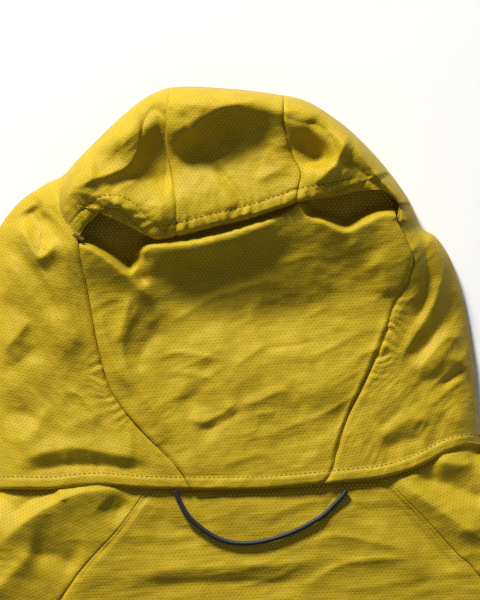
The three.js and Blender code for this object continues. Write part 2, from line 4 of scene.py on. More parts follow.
import bpy
import numpy as np
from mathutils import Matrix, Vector


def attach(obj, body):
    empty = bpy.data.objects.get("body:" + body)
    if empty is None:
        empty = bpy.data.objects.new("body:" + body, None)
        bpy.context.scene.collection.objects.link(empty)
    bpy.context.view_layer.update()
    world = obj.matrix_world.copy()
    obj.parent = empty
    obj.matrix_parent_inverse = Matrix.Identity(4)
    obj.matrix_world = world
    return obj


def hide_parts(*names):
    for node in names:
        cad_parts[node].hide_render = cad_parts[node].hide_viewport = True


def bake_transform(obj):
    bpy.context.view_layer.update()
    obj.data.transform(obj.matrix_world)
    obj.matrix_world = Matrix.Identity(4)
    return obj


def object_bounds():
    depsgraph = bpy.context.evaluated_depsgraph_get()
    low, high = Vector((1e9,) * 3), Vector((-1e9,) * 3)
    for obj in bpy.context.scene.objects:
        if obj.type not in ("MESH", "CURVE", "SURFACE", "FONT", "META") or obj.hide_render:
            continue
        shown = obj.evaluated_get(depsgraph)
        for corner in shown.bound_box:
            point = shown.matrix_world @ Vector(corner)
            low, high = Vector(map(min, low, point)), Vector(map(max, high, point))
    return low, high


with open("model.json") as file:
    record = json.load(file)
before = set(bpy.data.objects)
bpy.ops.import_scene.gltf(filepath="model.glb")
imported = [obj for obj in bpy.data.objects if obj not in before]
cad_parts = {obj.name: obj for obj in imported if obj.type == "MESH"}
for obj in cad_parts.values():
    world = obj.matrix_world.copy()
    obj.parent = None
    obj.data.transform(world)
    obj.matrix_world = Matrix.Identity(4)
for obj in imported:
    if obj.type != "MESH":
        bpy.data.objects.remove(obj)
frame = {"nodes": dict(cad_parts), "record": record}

MM = 0.001
CAD_BOX = [list(corner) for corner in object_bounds()]
NECK_Y = next(j["pos_m"][1] for j in frame["record"]["behaviour"]["joints"] if j["name"] == "hood_fold")
HAND = {-1: "left", 1: "right"}
FOLD_ENDS = 0.25  # the share of a fold's length over which each of its ends fades out
CLOTH, BAND_CLOTH = 0.45, 0.9  # thickness of one layer, and of the folded bands


def to_frame(points):
    moved = np.asarray(points, float) * MM
    moved[..., 1] += NECK_Y
    return moved


# ---- Curves and relief ----


def smooth(low, high, value):
    t = np.clip((np.asarray(value, float) - low) / (high - low), 0, 1)
    return t * t * (3 - 2 * t)


def unit(count):
    """Even steps from 0 to 1."""
    return np.linspace(0, 1, count)


def circle(count):
    """Even angles round a circle."""
    return np.linspace(0, 2 * math.pi, count, endpoint=False)


def spline(points, steps=10):
    """A smooth line through the points, as an array of points."""
    p = np.asarray(points, float)
    if len(p) < 3:
        return p
    p = np.vstack([2 * p[0] - p[1], p, 2 * p[-1] - p[-2]])
    t = np.linspace(0, 1, steps, endpoint=False)[:, None]
    made = [
        0.5 * (2 * b + (c - a) * t + (2 * a - 5 * b + 4 * c - d) * t**2 + (3 * b - a - 3 * c + d) * t**3)
        for a, b, c, d in zip(p, p[1:], p[2:], p[3:])
    ]
    return np.vstack([*made, p[-2:-1]])


def arc(line):
    return np.concatenate([[0], np.cumsum(np.linalg.norm(np.diff(line, axis=0), axis=1))])


def even(line, shares):
    """Points of a line at shares of its length."""
    lengths = arc(line)
    at = np.asarray(shares) * lengths[-1]
    return np.stack([np.interp(at, lengths, column) for column in line.T], axis=1)


def track(x, y, line):
    """Distance to a line, positive on its left, and the length along it of the nearest point."""
    lengths = arc(line)
    best = np.full(x.shape, 1e9)
    side = np.ones(x.shape)
    run = np.zeros(x.shape)
    for i, (a, b) in enumerate(zip(line, line[1:])):
        d = b - a
        size = d @ d
        if size == 0:
            continue
        t = np.clip(((x - a[0]) * d[0] + (y - a[1]) * d[1]) / size, 0, 1)
        gap = np.hypot(x - a[0] - t * d[0], y - a[1] - t * d[1])
        near = gap < best
        best = np.where(near, gap, best)
        side = np.where(near, np.sign(d[0] * (y - a[1]) - d[1] * (x - a[0])), side)
        run = np.where(near, lengths[i] + t * math.sqrt(size), run)
    return best * np.where(side == 0, 1, side), run


def fold(x, y, points, height, left, right, sharp):
    """A ridge along a line, or a hollow for a negative height; left and right are its widths on each side."""
    line = spline(points)
    offset, run = track(x, y, line)
    share = run / arc(line)[-1]
    width = np.where(offset > 0, left, right)
    taper = smooth(0, FOLD_ENDS, share) * smooth(0, FOLD_ENDS, 1 - share)
    return height * np.exp(-np.abs(offset / width) ** sharp) * taper


def folds(x, y, ridges):
    return sum(fold(x, y, *ridge) for ridge in ridges)


def surface(points):
    """A smooth height through the given points (x, y, z), as a function of x and y."""
    p = np.asarray(points, float)

    def kernel(r):
        return np.where(r > 0, r * r * np.log(r + 1e-9), 0)

    n = len(p)
    flat = np.hypot(p[:, None, 0] - p[None, :, 0], p[:, None, 1] - p[None, :, 1]) / 100
    plane = np.c_[np.ones(n), p[:, :2] / 100]
    system = np.zeros((n + 3, n + 3))
    system[:n, :n] = kernel(flat) + 1e-4 * np.eye(n)
    system[:n, n:] = plane
    system[n:, :n] = plane.T
    weights = np.linalg.solve(system, np.r_[p[:, 2], 0, 0, 0])

    def height(x, y):
        total = weights[n] + weights[n + 1] * x / 100 + weights[n + 2] * y / 100
        for (px, py, _), w in zip(p, weights):
            total = total + w * kernel(np.hypot(x - px, y - py) / 100)
        return total

    return height


def noise(x, y, seed):
    """Smooth noise from -1 to 1 with cells of size 1."""
    rng = np.random.default_rng(seed)
    n = 64  # cells before the noise repeats
    table = rng.uniform(-1, 1, (n, n))
    i, j = np.floor(x).astype(int), np.floor(y).astype(int)
    u, v = x - i, y - j
    u, v = u * u * u * (u * (6 * u - 15) + 10), v * v * v * (v * (6 * v - 15) + 10)
    a, b = table[i % n, j % n], table[(i + 1) % n, j % n]
    c, d = table[i % n, (j + 1) % n], table[(i + 1) % n, (j + 1) % n]
    return (a * (1 - u) + b * u) * (1 - v) + (c * (1 - u) + d * u) * v


def crumple(x, y, seed, length, across, angle, height):
    """Soft creases that run along the given angle, in degrees."""
    turn = math.radians(angle)
    along = x * math.cos(turn) + y * math.sin(turn)
    over = -x * math.sin(turn) + y * math.cos(turn)
    bent = over + 5 * noise(x / 34, y / 34, seed + 7)
    broad = noise(along / length, bent / across, seed)
    crease = 1 - 2 * np.abs(noise(along / length / 0.7, bent / across / 0.62, seed + 1))
    fine = 1 - 2 * np.abs(noise(along / length / 0.3, bent / across / 0.24, seed + 3))
    small = noise(x / 5.5, y / 5.5, seed + 2)
    return height * (0.55 * broad + 0.38 * crease + 0.15 * fine + 0.1 * small)


def swell(distance, radius):
    """From 0 at an edge to 1 at the radius from it, round like a quarter of a circle."""
    inward = np.clip(1 - distance / radius, 0, 1)
    return np.sqrt(1 - inward * inward)


# ---- Outlines, in millimetres from the neck seam's middle ----

HEM_Y = (CAD_BOX[0][1] - NECK_Y) / MM
NECK = spline([(-150, -4), (-128, -1.5), (-104, -1.5), (-80, 0.6), (-50, -1.2), (0, -1.6), (36, 1.2), (54, 2.8),
               (72, 5.2), (89, 10.7), (103, 18), (113, 20.4), (122, 18.6), (138, 12)])
SEAM_LEFT = spline([(-30.5, -1.5), (-36.5, 8.8), (-47, 19.5), (-58, 31), (-66.5, 41), (-73, 51), (-77.5, 66),
                    (-81, 82), (-84.5, 102), (-88, 119), (-89.5, 128.5)])
SEAM_RIGHT = spline([(38, 1.2), (42, 7), (46, 21), (51, 36), (60, 54), (69, 75), (74.5, 93), (81.5, 106),
                     (84, 115), (84.3, 121), (80, 131), (76, 138.5)])
HEM_LEFT = spline([(-89.5, 128.5), (-86, 134.5), (-80, 140.5), (-74.5, 144.2), (-68, 144), (-62, 139.5),
                   (-55, 132), (-48, 128.5), (-38.5, 129.7)])
HEM_MIDDLE = spline([(-38.5, 129.7), (-20, 134.5), (0, 139.3), (24, 147.2)])
HEM_RIGHT = spline([(24, 147.2), (32, 149.2), (44, 151), (60, 154.3), (69, 153.8), (75, 150), (77.5, 145),
                    (76, 138.5)])
CROWN_SEAM_LEFT = spline([(-38.5, 129.7), (-38.2, 144), (-40.8, 160), (-43.5, 176), (-44, 190), (-42, 208.6)])
CROWN_SEAM_RIGHT = spline([(24, 147.2), (25, 155), (26.3, 163.4), (21.8, 173), (18, 187), (17.2, 204.6)])
TOP_LEFT = [(-84, 177.3), (-60, 199.6), (-42, 208.6)]
TOP_RIGHT = [(17.2, 204.6), (31, 200.8), (46.5, 191), (58.8, 180.3), (71.7, 166), (82.5, 151)]
CROWN_EDGE = spline([(-97.5, 118), (-98.8, 131), (-101.6, 145), (-98, 161), *TOP_LEFT, (-10.4, 208), *TOP_RIGHT,
                     (88, 139.5), (90, 128), (90, 116)])
HOOD_LEFT = spline([(-133, -3), (-137, 50), (-137, 100), (-133.5, 130), (-122, 147.5), (-108, 157.5), (-97.5, 163),
                    *TOP_LEFT])
HOOD_RIGHT = spline([(121, 19), (120, 30), (119.5, 40), (116.5, 70), (112.5, 95), (107.8, 112), (103.5, 122),
                     (97.3, 130.5), (89.5, 136), *TOP_RIGHT[::-1]])
LIP = spline([(-96, 125), (-86, 125), (-75, 118.6), (-63, 110), (-56.5, 117), (-52, 124), (-30, 126.5), (0, 134.5),
              (20, 141.8), (25, 146), (29, 140.5), (38, 137), (50, 132.8), (60, 137.2), (70, 141), (80, 139),
              (92, 132)])
RAGLAN_LEFT = spline([(-51.5, -1.2), (-68.3, -23.9), (-85.3, -42), (-97.2, -57.7), (-150, -134), (-262, -275)])
RAGLAN_RIGHT = spline([(67, 3.6), (88.9, -17.2), (107, -35.9), (122, -51), (172, -122), (262, -275)])

# ---- Heights of the hood's upper layer ----

LOWER_LEVEL = surface([
    (-130, 5, 20), (-90, 5, 21), (-60, 5, 22.5), (-30, 5, 23), (0, 5, 23), (40, 5, 23.5), (80, 12, 22), (115, 22, 17),
    (-125, 45, 16), (-95, 40, 20), (-57, 30, 21.5), (-20, 30, 23), (20, 30, 23), (52, 32, 22), (85, 45, 20),
    (110, 60, 13), (-125, 80, 17), (-100, 75, 21), (-76, 60, 20), (-40, 60, 19.5), (0, 60, 21), (40, 60, 21.5),
    (62, 62, 21), (90, 80, 18), (-83, 85, 20), (-50, 88, 20), (-20, 86, 17.5), (10, 87, 17), (40, 90, 17.5),
    (70, 86, 21), (-120, 115, 17), (-98, 110, 22), (-86, 105, 22), (-62, 107, 24), (-36, 104, 20), (0, 108, 22),
    (30, 112, 23), (60, 110, 22.5), (82, 112, 25), (100, 108, 17), (-54, 121, 29), (-30, 122, 31), (0, 130, 32.5),
    (24, 142, 33.5), (50, 130, 30), (70, 137, 31), (83, 121, 28), (-88, 126, 29), (-75, 117, 27), (-110, 145, 14),
])
CROWN_LEVEL = surface([
    (-98, 132, 28), (-99, 146, 32), (-92, 138, 31), (-84, 142, 33), (-93, 154, 33), (-72, 146, 36), (-83, 168, 34),
    (-62, 190, 38), (-74, 172, 33), (-62, 178, 34), (-66, 156, 33), (-56, 160, 31), (-50, 180, 31), (-48, 198, 36),
    (-55, 135, 33), (-48, 142, 37), (-40, 134, 35), (-42, 160, 31), (-40, 181, 38), (-31, 186, 41), (-18, 195, 43),
    (5, 199, 44), (18, 198, 43), (-32, 176, 30), (-28, 166, 30), (-10, 182, 33), (6, 178, 33), (16, 176, 34),
    (-22, 154, 36), (-10, 145, 38), (10, 160, 35), (14, 148, 38), (-30, 140, 36), (24, 152, 38), (30, 176, 32),
    (38, 172, 32), (34, 192, 42), (48, 180, 40), (41, 165, 38), (29, 157, 37), (55, 165, 36), (52, 157, 35),
    (63, 166, 38), (72, 157, 37), (79, 143, 35), (66, 156, 35), (84, 136, 33), (80, 130, 31), (90, 122, 24),
])

# Ridges, and hollows where the height is negative: points, height, width on the left and right, and sharpness.
CROWN_RIDGES = [
    # the tongue above the left end of the slit, and the bulge outside it
    ([(-93, 150), (-90, 155.5), (-78, 160.7), (-66, 165), (-59.5, 172), (-57.5, 184), (-59, 196)], 5, 12, 3.5, 1.3),
    ([(-100, 141), (-94, 152), (-84, 152), (-70, 148), (-58, 139)], 3.2, 7, 5, 1.4),
    ([(-84, 168), (-74, 170), (-64, 174)], -3, 8, 8, 2),
    ([(-53, 204), (-47, 186), (-43.5, 166), (-45, 148)], -6, 3.5, 13, 1.3),
    ([(-47, 150), (-46, 142), (-48, 134)], 2, 6, 5, 1.6),
    # the lit band along the top and the dark hollow under it
    ([(-41, 178), (-31, 185.6), (-18, 195), (-5, 199), (12, 199.5)], 2.8, 7, 5, 1.2),
    ([(-35, 196), (-33, 186), (-36, 176)], -1.2, 2, 3, 1.2),
    ([(-42, 172), (-28, 174), (-10, 180), (8, 182), (17, 178)], -1.8, 8, 16, 1.7),
    ([(-20, 170), (-12, 160), (-5, 150), (-1, 140)], -2.6, 1.6, 5, 1.1),
    ([(-23, 166), (-17, 158), (-10, 148), (-8, 141)], 1.8, 6, 4, 1.6),
    ([(-36, 166), (-26, 168), (-14, 176), (4, 180)], 1.6, 4, 7, 1.5),
    ([(2, 158), (12, 163), (21, 168)], 1.1, 3, 3, 1.3),
    # the right side: a hollow, a lit ridge, and the thin crest above the right end of the slit
    ([(25, 186), (34, 176), (36, 164)], -6, 8, 8, 1.8),
    ([(55, 188), (50, 180.4), (44, 168), (36, 160), (28, 155)], 4.5, 5, 8, 1.4),
    ([(53, 183), (58, 172), (66, 161), (74, 152.5), (79.5, 143)], 3.4, 5, 2.2, 1.2),
    ([(46, 171), (56, 164), (64, 158)], -1.8, 6, 6, 1.6),
    ([(64, 186), (74, 171), (84, 152)], -2.5, 4, 4, 1.5),
]

LOWER_RIDGES = [
    # the lip under the slit and the hollow below it
    ([(-55, 122), (-42, 123), (-20, 126.5), (4, 134), (20, 140)], 3.2, 4.5, 6, 1.6),
    ([(-52, 113), (-30, 112), (0, 117), (28, 126)], -1.5, 6, 8, 2),
    ([(-88, 127), (-75, 118.6), (-61, 107), (-48, 94)], 3.6, 3.5, 8, 1.3),
    ([(-57.5, 124), (-58.5, 112), (-53, 104)], -3.5, 4, 2.2, 1.4),
    ([(27, 141), (38, 137), (50, 132), (60, 136), (72, 140)], 2.2, 3, 6, 1.4),
    ([(50, 131), (58, 120), (66, 108)], 1.6, 8, 6, 1.6),
    ([(64, 122), (70, 112), (70, 98)], 2.0, 6, 7, 1.6),
    # creases beside the left seam
    ([(-79, 96), (-75, 78), (-68, 60), (-60, 48)], 2.0, 2.2, 4, 1.3),
    ([(-62, 100), (-66, 84), (-70, 72)], 1.8, 2.4, 3.4, 1.3),
    ([(-54, 100), (-64, 82), (-66, 68), (-60, 54), (-48, 38), (-40, 22)], 2.3, 3.0, 7, 1.3),
    ([(-46, 84), (-56, 70), (-58, 58)], -1.8, 4, 5, 1.6),
    ([(-50, 66), (-38, 70), (-24, 68), (-12, 66)], 0.9, 1.6, 2.4, 1.2),
    ([(-44, 60), (-30, 59), (-14, 54)], 0.7, 1.4, 2.0, 1.2),
    ([(-34, 52), (-24, 40), (-12, 32)], -2.2, 8, 9, 1.8),
    # the dent in the middle of the lower back
    ([(-34, 35), (-24, 34), (-15, 38), (-6, 45)], 1.7, 5, 2.0, 1.2),
    ([(-30, 30), (-20, 30.5), (-10, 36), (-2, 42)], -1.5, 2.4, 7, 1.3),
    ([(-6, 43), (4, 45), (16, 50), (24, 47)], 1.8, 3, 5, 1.2),
    ([(18, 54), (26, 44), (24, 32)], -1.0, 5, 4, 1.4),
    ([(-22, 86), (-14, 72), (-2, 58), (4, 47)], 2.4, 12, 15, 1.6),
    ([(-50, 92), (-44, 72), (-36, 52)], -1.8, 8, 6, 1.6),
    ([(16, 82), (30, 62), (36, 38)], 1.6, 10, 10, 1.7),
    ([(2, 96), (26, 92), (52, 100)], -1.4, 8, 9, 1.8),
    ([(2, 37), (14, 39)], 0.7, 1.4, 1.4, 1.2),
    ([(6, 72), (20, 73), (36, 76)], -0.9, 1.8, 1.4, 1.2),
    ([(-10, 62), (0, 68), (10, 76)], 0.6, 1.6, 2, 1.2),
    ([(44, 24), (52, 40), (60, 56), (66, 72)], -2.2, 7, 4, 1.5),
    ([(40, 12), (48, 34), (58, 56), (68, 80), (76, 98)], 1.2, 1.6, 2.5, 1.2),
    ([(10, 20), (24, 24), (36, 20)], -1.0, 6, 6, 1.8),
]

SIDE_RIDGES = [
    # left side: the V beside the crown and the long soft folds below it
    ([(-121, 142), (-117, 130), (-112, 121), (-108.4, 119.6), (-103, 124), (-100, 131)], 5.0, 5.5, 4.5, 1.4),
    ([(-116, 146), (-110, 138), (-104, 142)], -4, 6, 6, 1.7),
    ([(-130, 128), (-122, 112), (-110, 96), (-98, 76), (-88, 58)], 2.6, 8, 6, 1.6),
    ([(-124, 132), (-114, 112), (-104, 96), (-96, 84)], -2.2, 6, 6, 1.6),
    ([(-104, 116), (-98, 102), (-93, 88), (-86, 70)], 2.0, 5, 5, 1.6),
    ([(-132, 102), (-120, 88), (-110, 72), (-104, 60)], -2.2, 7, 7, 1.6),
    ([(-130, 70), (-121, 79), (-114, 88)], 2.2, 8, 3, 1.4),
    ([(-131, 62), (-121, 64), (-110, 74)], -1.9, 4, 7, 1.5),
    ([(-126, 12), (-106, 18), (-90, 20.5), (-70, 17), (-52, 13)], 3.0, 7, 4.5, 1.5),
    ([(-122, 7), (-98, 11), (-72, 11), (-48, 8.5)], -1.8, 3, 3, 1.5),
    ([(-124, 20), (-112, 30), (-104, 44)], 1.6, 5, 7, 1.6),
    ([(-100, 26), (-88, 34), (-76, 38)], 1.2, 5, 5, 1.6),
    ([(-132, 34), (-120, 38), (-108, 34)], -1.4, 5, 7, 1.6),
    # right side
    ([(88, 134), (92, 118), (92, 100), (84, 82)], -2.4, 4, 3, 1.5),
    ([(102, 124), (100, 108), (94, 92), (84, 76), (76, 62)], 2.2, 3.5, 4, 1.4),
    ([(108, 104), (102, 88), (92, 74), (82, 62)], -2.2, 5, 5, 1.6),
    ([(113, 74), (104, 78), (94, 68), (86, 56)], 2.4, 5, 4, 1.5),
    ([(118, 56), (108, 66), (98, 64), (90, 54)], 2.0, 4, 6, 1.4),
    ([(114, 62), (104, 56), (98, 52)], -2.4, 3, 3, 1.4),
    ([(118, 40), (108, 34), (100, 40), (92, 50)], 1.4, 5, 5, 1.5),
    ([(98, 30), (86, 36), (74, 30), (62, 22)], 1.8, 5, 6, 1.5),
    ([(92, 24), (80, 24), (68, 18)], -1.6, 4, 4, 1.5),
    ([(66, 30), (72, 34), (80, 42)], -1.1, 3, 3, 1.4),
]


TOPSTITCH = 6.6  # from the neck seam
EDGE_Z = 1.0  # height of the hood's folded edges
SIDE_ROUND, CROWN_ROUND, BODY_ROUND = 17, 13, 26  # how far in from a folded edge the cloth is still rounded
HEM_STITCH = 7  # from the slit's hem


def neck_strip(x, y):
    """The raised seam allowance along the neck seam, with the groove of its topstitching."""
    offset, _ = track(x, y, NECK)
    rise = 1.3 * smooth(-0.3, 1.1, offset) - 1.0 * smooth(6.0, 7.6, offset)
    return rise - 0.7 * np.exp(-((offset - TOPSTITCH) / 0.7) ** 2) - 1.2 * np.exp(-(offset / 0.8) ** 2)


def seam_ditch(x, y, line, depth=0.9, width=1.1):
    offset, _ = track(x, y, line)
    return -depth * np.exp(-((offset / width) ** 2))


def puckers(x, y, line, side, height, pitch, reach, span, seed):
    """Short pleats that start at a gathered seam, between two shares of its length."""
    offset, run = track(x, y, line)
    distance = offset * side
    share = run / arc(line)[-1]
    wobble = noise(run / 9, distance / 12, seed)
    wave = np.sin(2 * math.pi * (run + 4.5 * wobble) / pitch) * (0.65 + 0.5 * noise(run / 5, distance / 30, seed + 1))
    first, last = span
    amount = smooth(first, first + 0.06, share) * (1 - smooth(last - 0.06, last, share))
    ramp = smooth(-0.5, 1.2, distance) * np.exp(-np.clip(distance, 0, None) / reach)
    return height * wave * amount * ramp


def lower_height(x, y):
    """The hood below the slit, which passes under the slit's hem."""
    z = LOWER_LEVEL(x, y) + folds(x, y, LOWER_RIDGES) + crumple(x, y, 11, 30, 16, 20, 1.0)
    beyond, _ = track(x, y, LIP)
    z = z - 21 * smooth(0, 7, beyond) - 0.1 * np.clip(beyond - 8, 0, 40)
    inside = smooth(-95, -60, x) * (1 - smooth(60, 82, x))
    z = z + puckers(x, y, LIP, -1, 0.55, 6.5, 9, (0.3, 0.6), 5) * inside
    for line in (SEAM_LEFT, SEAM_RIGHT):
        z = z + seam_ditch(x, y, line)
    return z + neck_strip(x, y)


def side_height(x, y, outline, side):
    """The hood's side below the crown: from the seam of the lower back to the outline."""
    seam = SEAM_LEFT if side < 0 else SEAM_RIGHT
    z = LOWER_LEVEL(x, y) + folds(x, y, SIDE_RIDGES) + crumple(x, y, 31, 30, 14, -55 if side < 0 else 50, 1.2)
    span = (0.3, 0.62) if side < 0 else (0.38, 0.74)
    z = z + puckers(x, y, seam, -side, 1.1, 4.6, 5.0, span, 3) + seam_ditch(x, y, seam)
    offset, _ = track(x, y, outline)
    return EDGE_Z + (z + neck_strip(x, y) - EDGE_Z) * swell(np.abs(offset), SIDE_ROUND)


def crown_height(x, y):
    """The crown, above the slit's hem."""
    z = CROWN_LEVEL(x, y) + 1.1 * folds(x, y, CROWN_RIDGES) + crumple(x, y, 51, 24, 15, 35, 1.0)
    for hem, tall in ((HEM_LEFT, 0.7), (HEM_MIDDLE, 1.0), (HEM_RIGHT, 0.5)):
        z = z + puckers(x, y, hem, 1, tall, 5.0, 9, (0.02, 0.98), 9)
        offset, _ = track(x, y, hem)
        z = z - 0.5 * np.exp(-((offset - HEM_STITCH) / 0.8) ** 2) - 2.4 * np.exp(-np.clip(offset, 0, None) / 1.1)
    for line in (CROWN_SEAM_LEFT, CROWN_SEAM_RIGHT):
        z = z + seam_ditch(x, y, line)
    offset, _ = track(x, y, CROWN_EDGE)
    inside = np.clip(-offset, 0, None)
    return EDGE_Z + (z - EDGE_Z) * swell(inside, CROWN_ROUND)


def hood_side_height(x, y, outline, side):
    """The crown well inside its edge, the higher of crown and side along that edge, and the side beyond it."""
    low = side_height(x, y, outline, side)
    high = crown_height(x, y)
    corner = HEM_LEFT[0] if side < 0 else HEM_RIGHT[-1]
    share = smooth(corner[1] - 12, corner[1] + 3, y)
    offset, _ = track(x, y, CROWN_EDGE)
    rim = low + np.maximum(high - low, 0) * share
    well_inside = smooth(9, 24, -offset) * share
    return np.where(offset < 0, rim + (high - rim) * well_inside, low)


# ---- The body and sleeves ----

NECK_LEFT = (-133, -3)
NECK_RIGHT = (121, 19)
UNDERARM = (262, -275)
ELBOW = (292, -456)
CUFF_ACROSS = np.array([0.94, 0.35]) / math.hypot(0.94, 0.35)
CUFF_ALONG = np.array([CUFF_ACROSS[1], -CUFF_ACROSS[0]])
CUFF_OUTER = np.array([430.0, -596.0])
CUFF_WIDTH = 112
CUFF_INNER = CUFF_OUTER - CUFF_WIDTH * CUFF_ACROSS
BAND = 16
BAND_GAP = 0.4  # between a band and the cloth it ends
SHELL_END = HEM_Y + BAND
OVERARM = {
    -1: spline([NECK_LEFT, (-193, -24), (-234, -74), (-275, -180), (-346, -370), (-430, -596)]),
    1: spline([NECK_RIGHT, (150, 8), (193, -22), (232, -72), (275, -180), (346, -370), (430, -596)]),
}
RAGLAN = {-1: RAGLAN_LEFT, 1: RAGLAN_RIGHT}
SEAM = {-1: SEAM_LEFT, 1: SEAM_RIGHT}
HOOD_OUTLINE = {-1: HOOD_LEFT, 1: HOOD_RIGHT}
BACK_LOFT, NECK_LOFT = 13, 6.9  # the back's height, and what is added near the neck
POCKET_X = 150
POCKET_TOP, POCKET_END = -330, -490


def mirrored(points, side):
    return np.asarray(points, float) * [side, 1]


def body_outline(side):
    inner = mirrored([CUFF_INNER, ELBOW, UNDERARM, (UNDERARM[0], HEM_Y)], side)
    return [OVERARM[side], inner]


def body_loft(x, y):
    near = np.full(x.shape, 1e9)
    for side in (-1, 1):
        for line in body_outline(side):
            offset, _ = track(x, y, line)
            near = np.minimum(near, np.abs(offset))
    full = BACK_LOFT + NECK_LOFT * smooth(-170, -5, y)
    return 1.2 + full * swell(near, BODY_ROUND)


BODY_RIDGES = [
    # the left shoulder's big roll and the hollows beside it
    ([(-136, -36), (-118, -19), (-101, -8.5), (-86, -2.5), (-70, -1.5), (-60, -5)], 4.6, 5, 11, 1.4),
    ([(-126, -16), (-112, -6), (-96, -3)], -2.2, 4, 4, 1.5),
    ([(-97, -8), (-98, -3), (-101, -1)], 1.2, 2, 2, 1.3),
    ([(-116, -34), (-102, -36), (-88, -42)], -3.4, 8, 7, 1.8),
    ([(-136, -58), (-122, -43), (-112, -32)], 3.0, 5, 9, 1.4),
    ([(-76, -7), (-70, -12), (-62, -8)], -2.0, 5, 6, 1.7),
    ([(-72, -26), (-62, -14), (-50, -8)], 1.4, 5, 6, 1.5),
    ([(-52, -14), (-36, -22), (-22, -26)], -1.4, 4, 8, 1.6),
    # the middle of the back under the loop
    ([(-70, -47), (-40, -43), (-10, -42), (20, -40), (44, -34)], 1.5, 4, 6, 1.5),
    ([(-66, -54), (-30, -50), (10, -50), (36, -46)], -1.3, 4, 5, 1.6),
    ([(30, -30), (46, -25), (70, -30), (86, -32)], 0.9, 2, 3.5, 1.3),
    ([(26, -54), (44, -42), (66, -37), (88, -39)], 1.1, 2, 4, 1.3),
    ([(36, -20), (46, -14), (58, -10)], 1.2, 5, 5, 1.5),
    ([(40, -16), (42, -8), (46, -3)], -1.0, 2, 2, 1.4),
    ([(-30, -12), (-4, -12), (24, -12)], 0.9, 8, 8, 2),
    # the right shoulder
    ([(74, 4.5), (90, -6), (106, -17), (124, -30)], 3.6, 6, 6, 1.5),
    ([(84, 7), (100, 2), (116, -4), (130, -8)], -4.0, 7, 5, 1.7),
    ([(96, 14), (106, 12), (118, 12)], 1.8, 4, 5, 1.4),
    ([(70, -2), (84, -18), (98, -33), (110, -46)], -2.4, 4, 6, 1.6),
    ([(62, -20), (78, -32), (92, -50)], 1.5, 6, 8, 1.7),
    # further down: drag lines from the underarms and soft waves across the back
    ([(-230, -250), (-150, -215), (-60, -205)], 3.0, 18, 26, 1.8),
    ([(240, -262), (160, -230), (40, -226)], 3.0, 18, 24, 1.8),
    ([(-210, -330), (-90, -352), (40, -340), (190, -362)], 2.6, 24, 30, 1.8),
    ([(-180, -470), (-40, -440), (120, -462)], 2.4, 30, 26, 1.8),
    ([(-60, -620), (-46, -520), (-70, -420)], 2.2, 20, 20, 1.8),
    ([(120, -630), (136, -540), (110, -440)], 2.4, 20, 20, 1.8),
    ([(-230, -80), (-262, -190), (-300, -310)], 2.6, 12, 16, 1.7),
    ([(226, -84), (258, -196), (300, -320)], 2.6, 12, 16, 1.7),
    ([(-322, -380), (-300, -400), (-288, -430)], -3.0, 8, 8, 1.6),
    ([(-350, -396), (-318, -430), (-296, -452)], 3.0, 9, 7, 1.6),
    ([(350, -396), (322, -424), (298, -446)], 3.0, 9, 7, 1.6),
    ([(336, -366), (312, -388), (292, -412)], -3.0, 8, 8, 1.6),
    ([(372, -470), (346, -492), (318, -520)], 2.4, 8, 8, 1.6),
    ([(-376, -478), (-346, -500), (-318, -516)], 2.4, 8, 8, 1.6),
]


def body_height(x, y):
    loft = body_loft(x, y)
    room = smooth(1.2, 9, loft)
    tall = 0.9 + 1.1 * smooth(-60, -140, y)  # rougher away from the shoulders
    z = loft + room * (folds(x, y, BODY_RIDGES) + crumple(x, y, 71, 40, 17, 8, 1) * tall)
    z = z + room * smooth(-80, -160, y) * 1.6 * noise(x / 62, y / 90, 78)
    for line in (RAGLAN_LEFT, RAGLAN_RIGHT):
        z = z + seam_ditch(x, y, line, 0.8, 1.2)
    offset, _ = track(x, y, NECK)
    return z - 2.2 * np.exp(-np.abs(offset) / 2.2)


COLLAR_TOP = 98  # where the main zip's raised strip ends
ZIP_LIFT = 2.4


def front_height(x, y):
    """The front layer's underside, which lies on the surface and rises beside the three zips."""
    main = np.abs(x)
    along = np.clip(y, POCKET_END, POCKET_TOP)
    pocket = np.hypot(main - POCKET_X, y - along)
    beside = np.minimum(np.where(y < COLLAR_TOP, main, np.hypot(main, y - COLLAR_TOP)), pocket)
    lifted = ZIP_LIFT * (1 - smooth(16, 30, beside))
    return 0.5 + lifted + 0.5 * (1 + noise(x / 45, y / 60, 91)) * smooth(30, 60, beside)


# ---- Meshes ----


def finished(name, vertices, faces, look):
    """A mesh object from points in millimetres."""
    mesh = bpy.data.meshes.new(name)
    mesh.from_pydata(to_frame(vertices).tolist(), [], [list(map(int, f)) for f in faces])
    mesh.update()
    made = bpy.data.objects.new(name, mesh)
    bpy.context.collection.objects.link(made)
    material, slot = look
    made.data.materials.append(material)
    return made


def read(items, key, width=1, kind=float):
    values = np.empty(len(items) * width, kind)
    items.foreach_get(key, values)
    return values.reshape(-1, width) if width > 1 else values


def weave_map(made, grain):
    """Coordinates in millimetres along the cloth's grain, laid on each face from the side it faces most."""
    mesh = made.data
    normal = np.abs(read(mesh.polygons, "normal", 3))
    face = np.repeat(np.arange(len(mesh.polygons)), read(mesh.polygons, "loop_total", kind=int))
    facing = np.where(normal[:, 2] > 0.45, 2, np.where(normal[:, 1] > normal[:, 0], 1, 0))[face]
    p = read(mesh.vertices, "co", 3)[read(mesh.loops, "vertex_index", kind=int)] / MM
    u = np.where(facing == 0, p[:, 1], p[:, 0])
    v = np.where(facing == 2, p[:, 1], p[:, 2])
    turn = math.radians(grain)
    uv = np.c_[u * math.cos(turn) + v * math.sin(turn), v * math.cos(turn) - u * math.sin(turn)]
    layer = mesh.uv_layers.new(name="weave")
    layer.data.foreach_set("uv", uv.ravel())


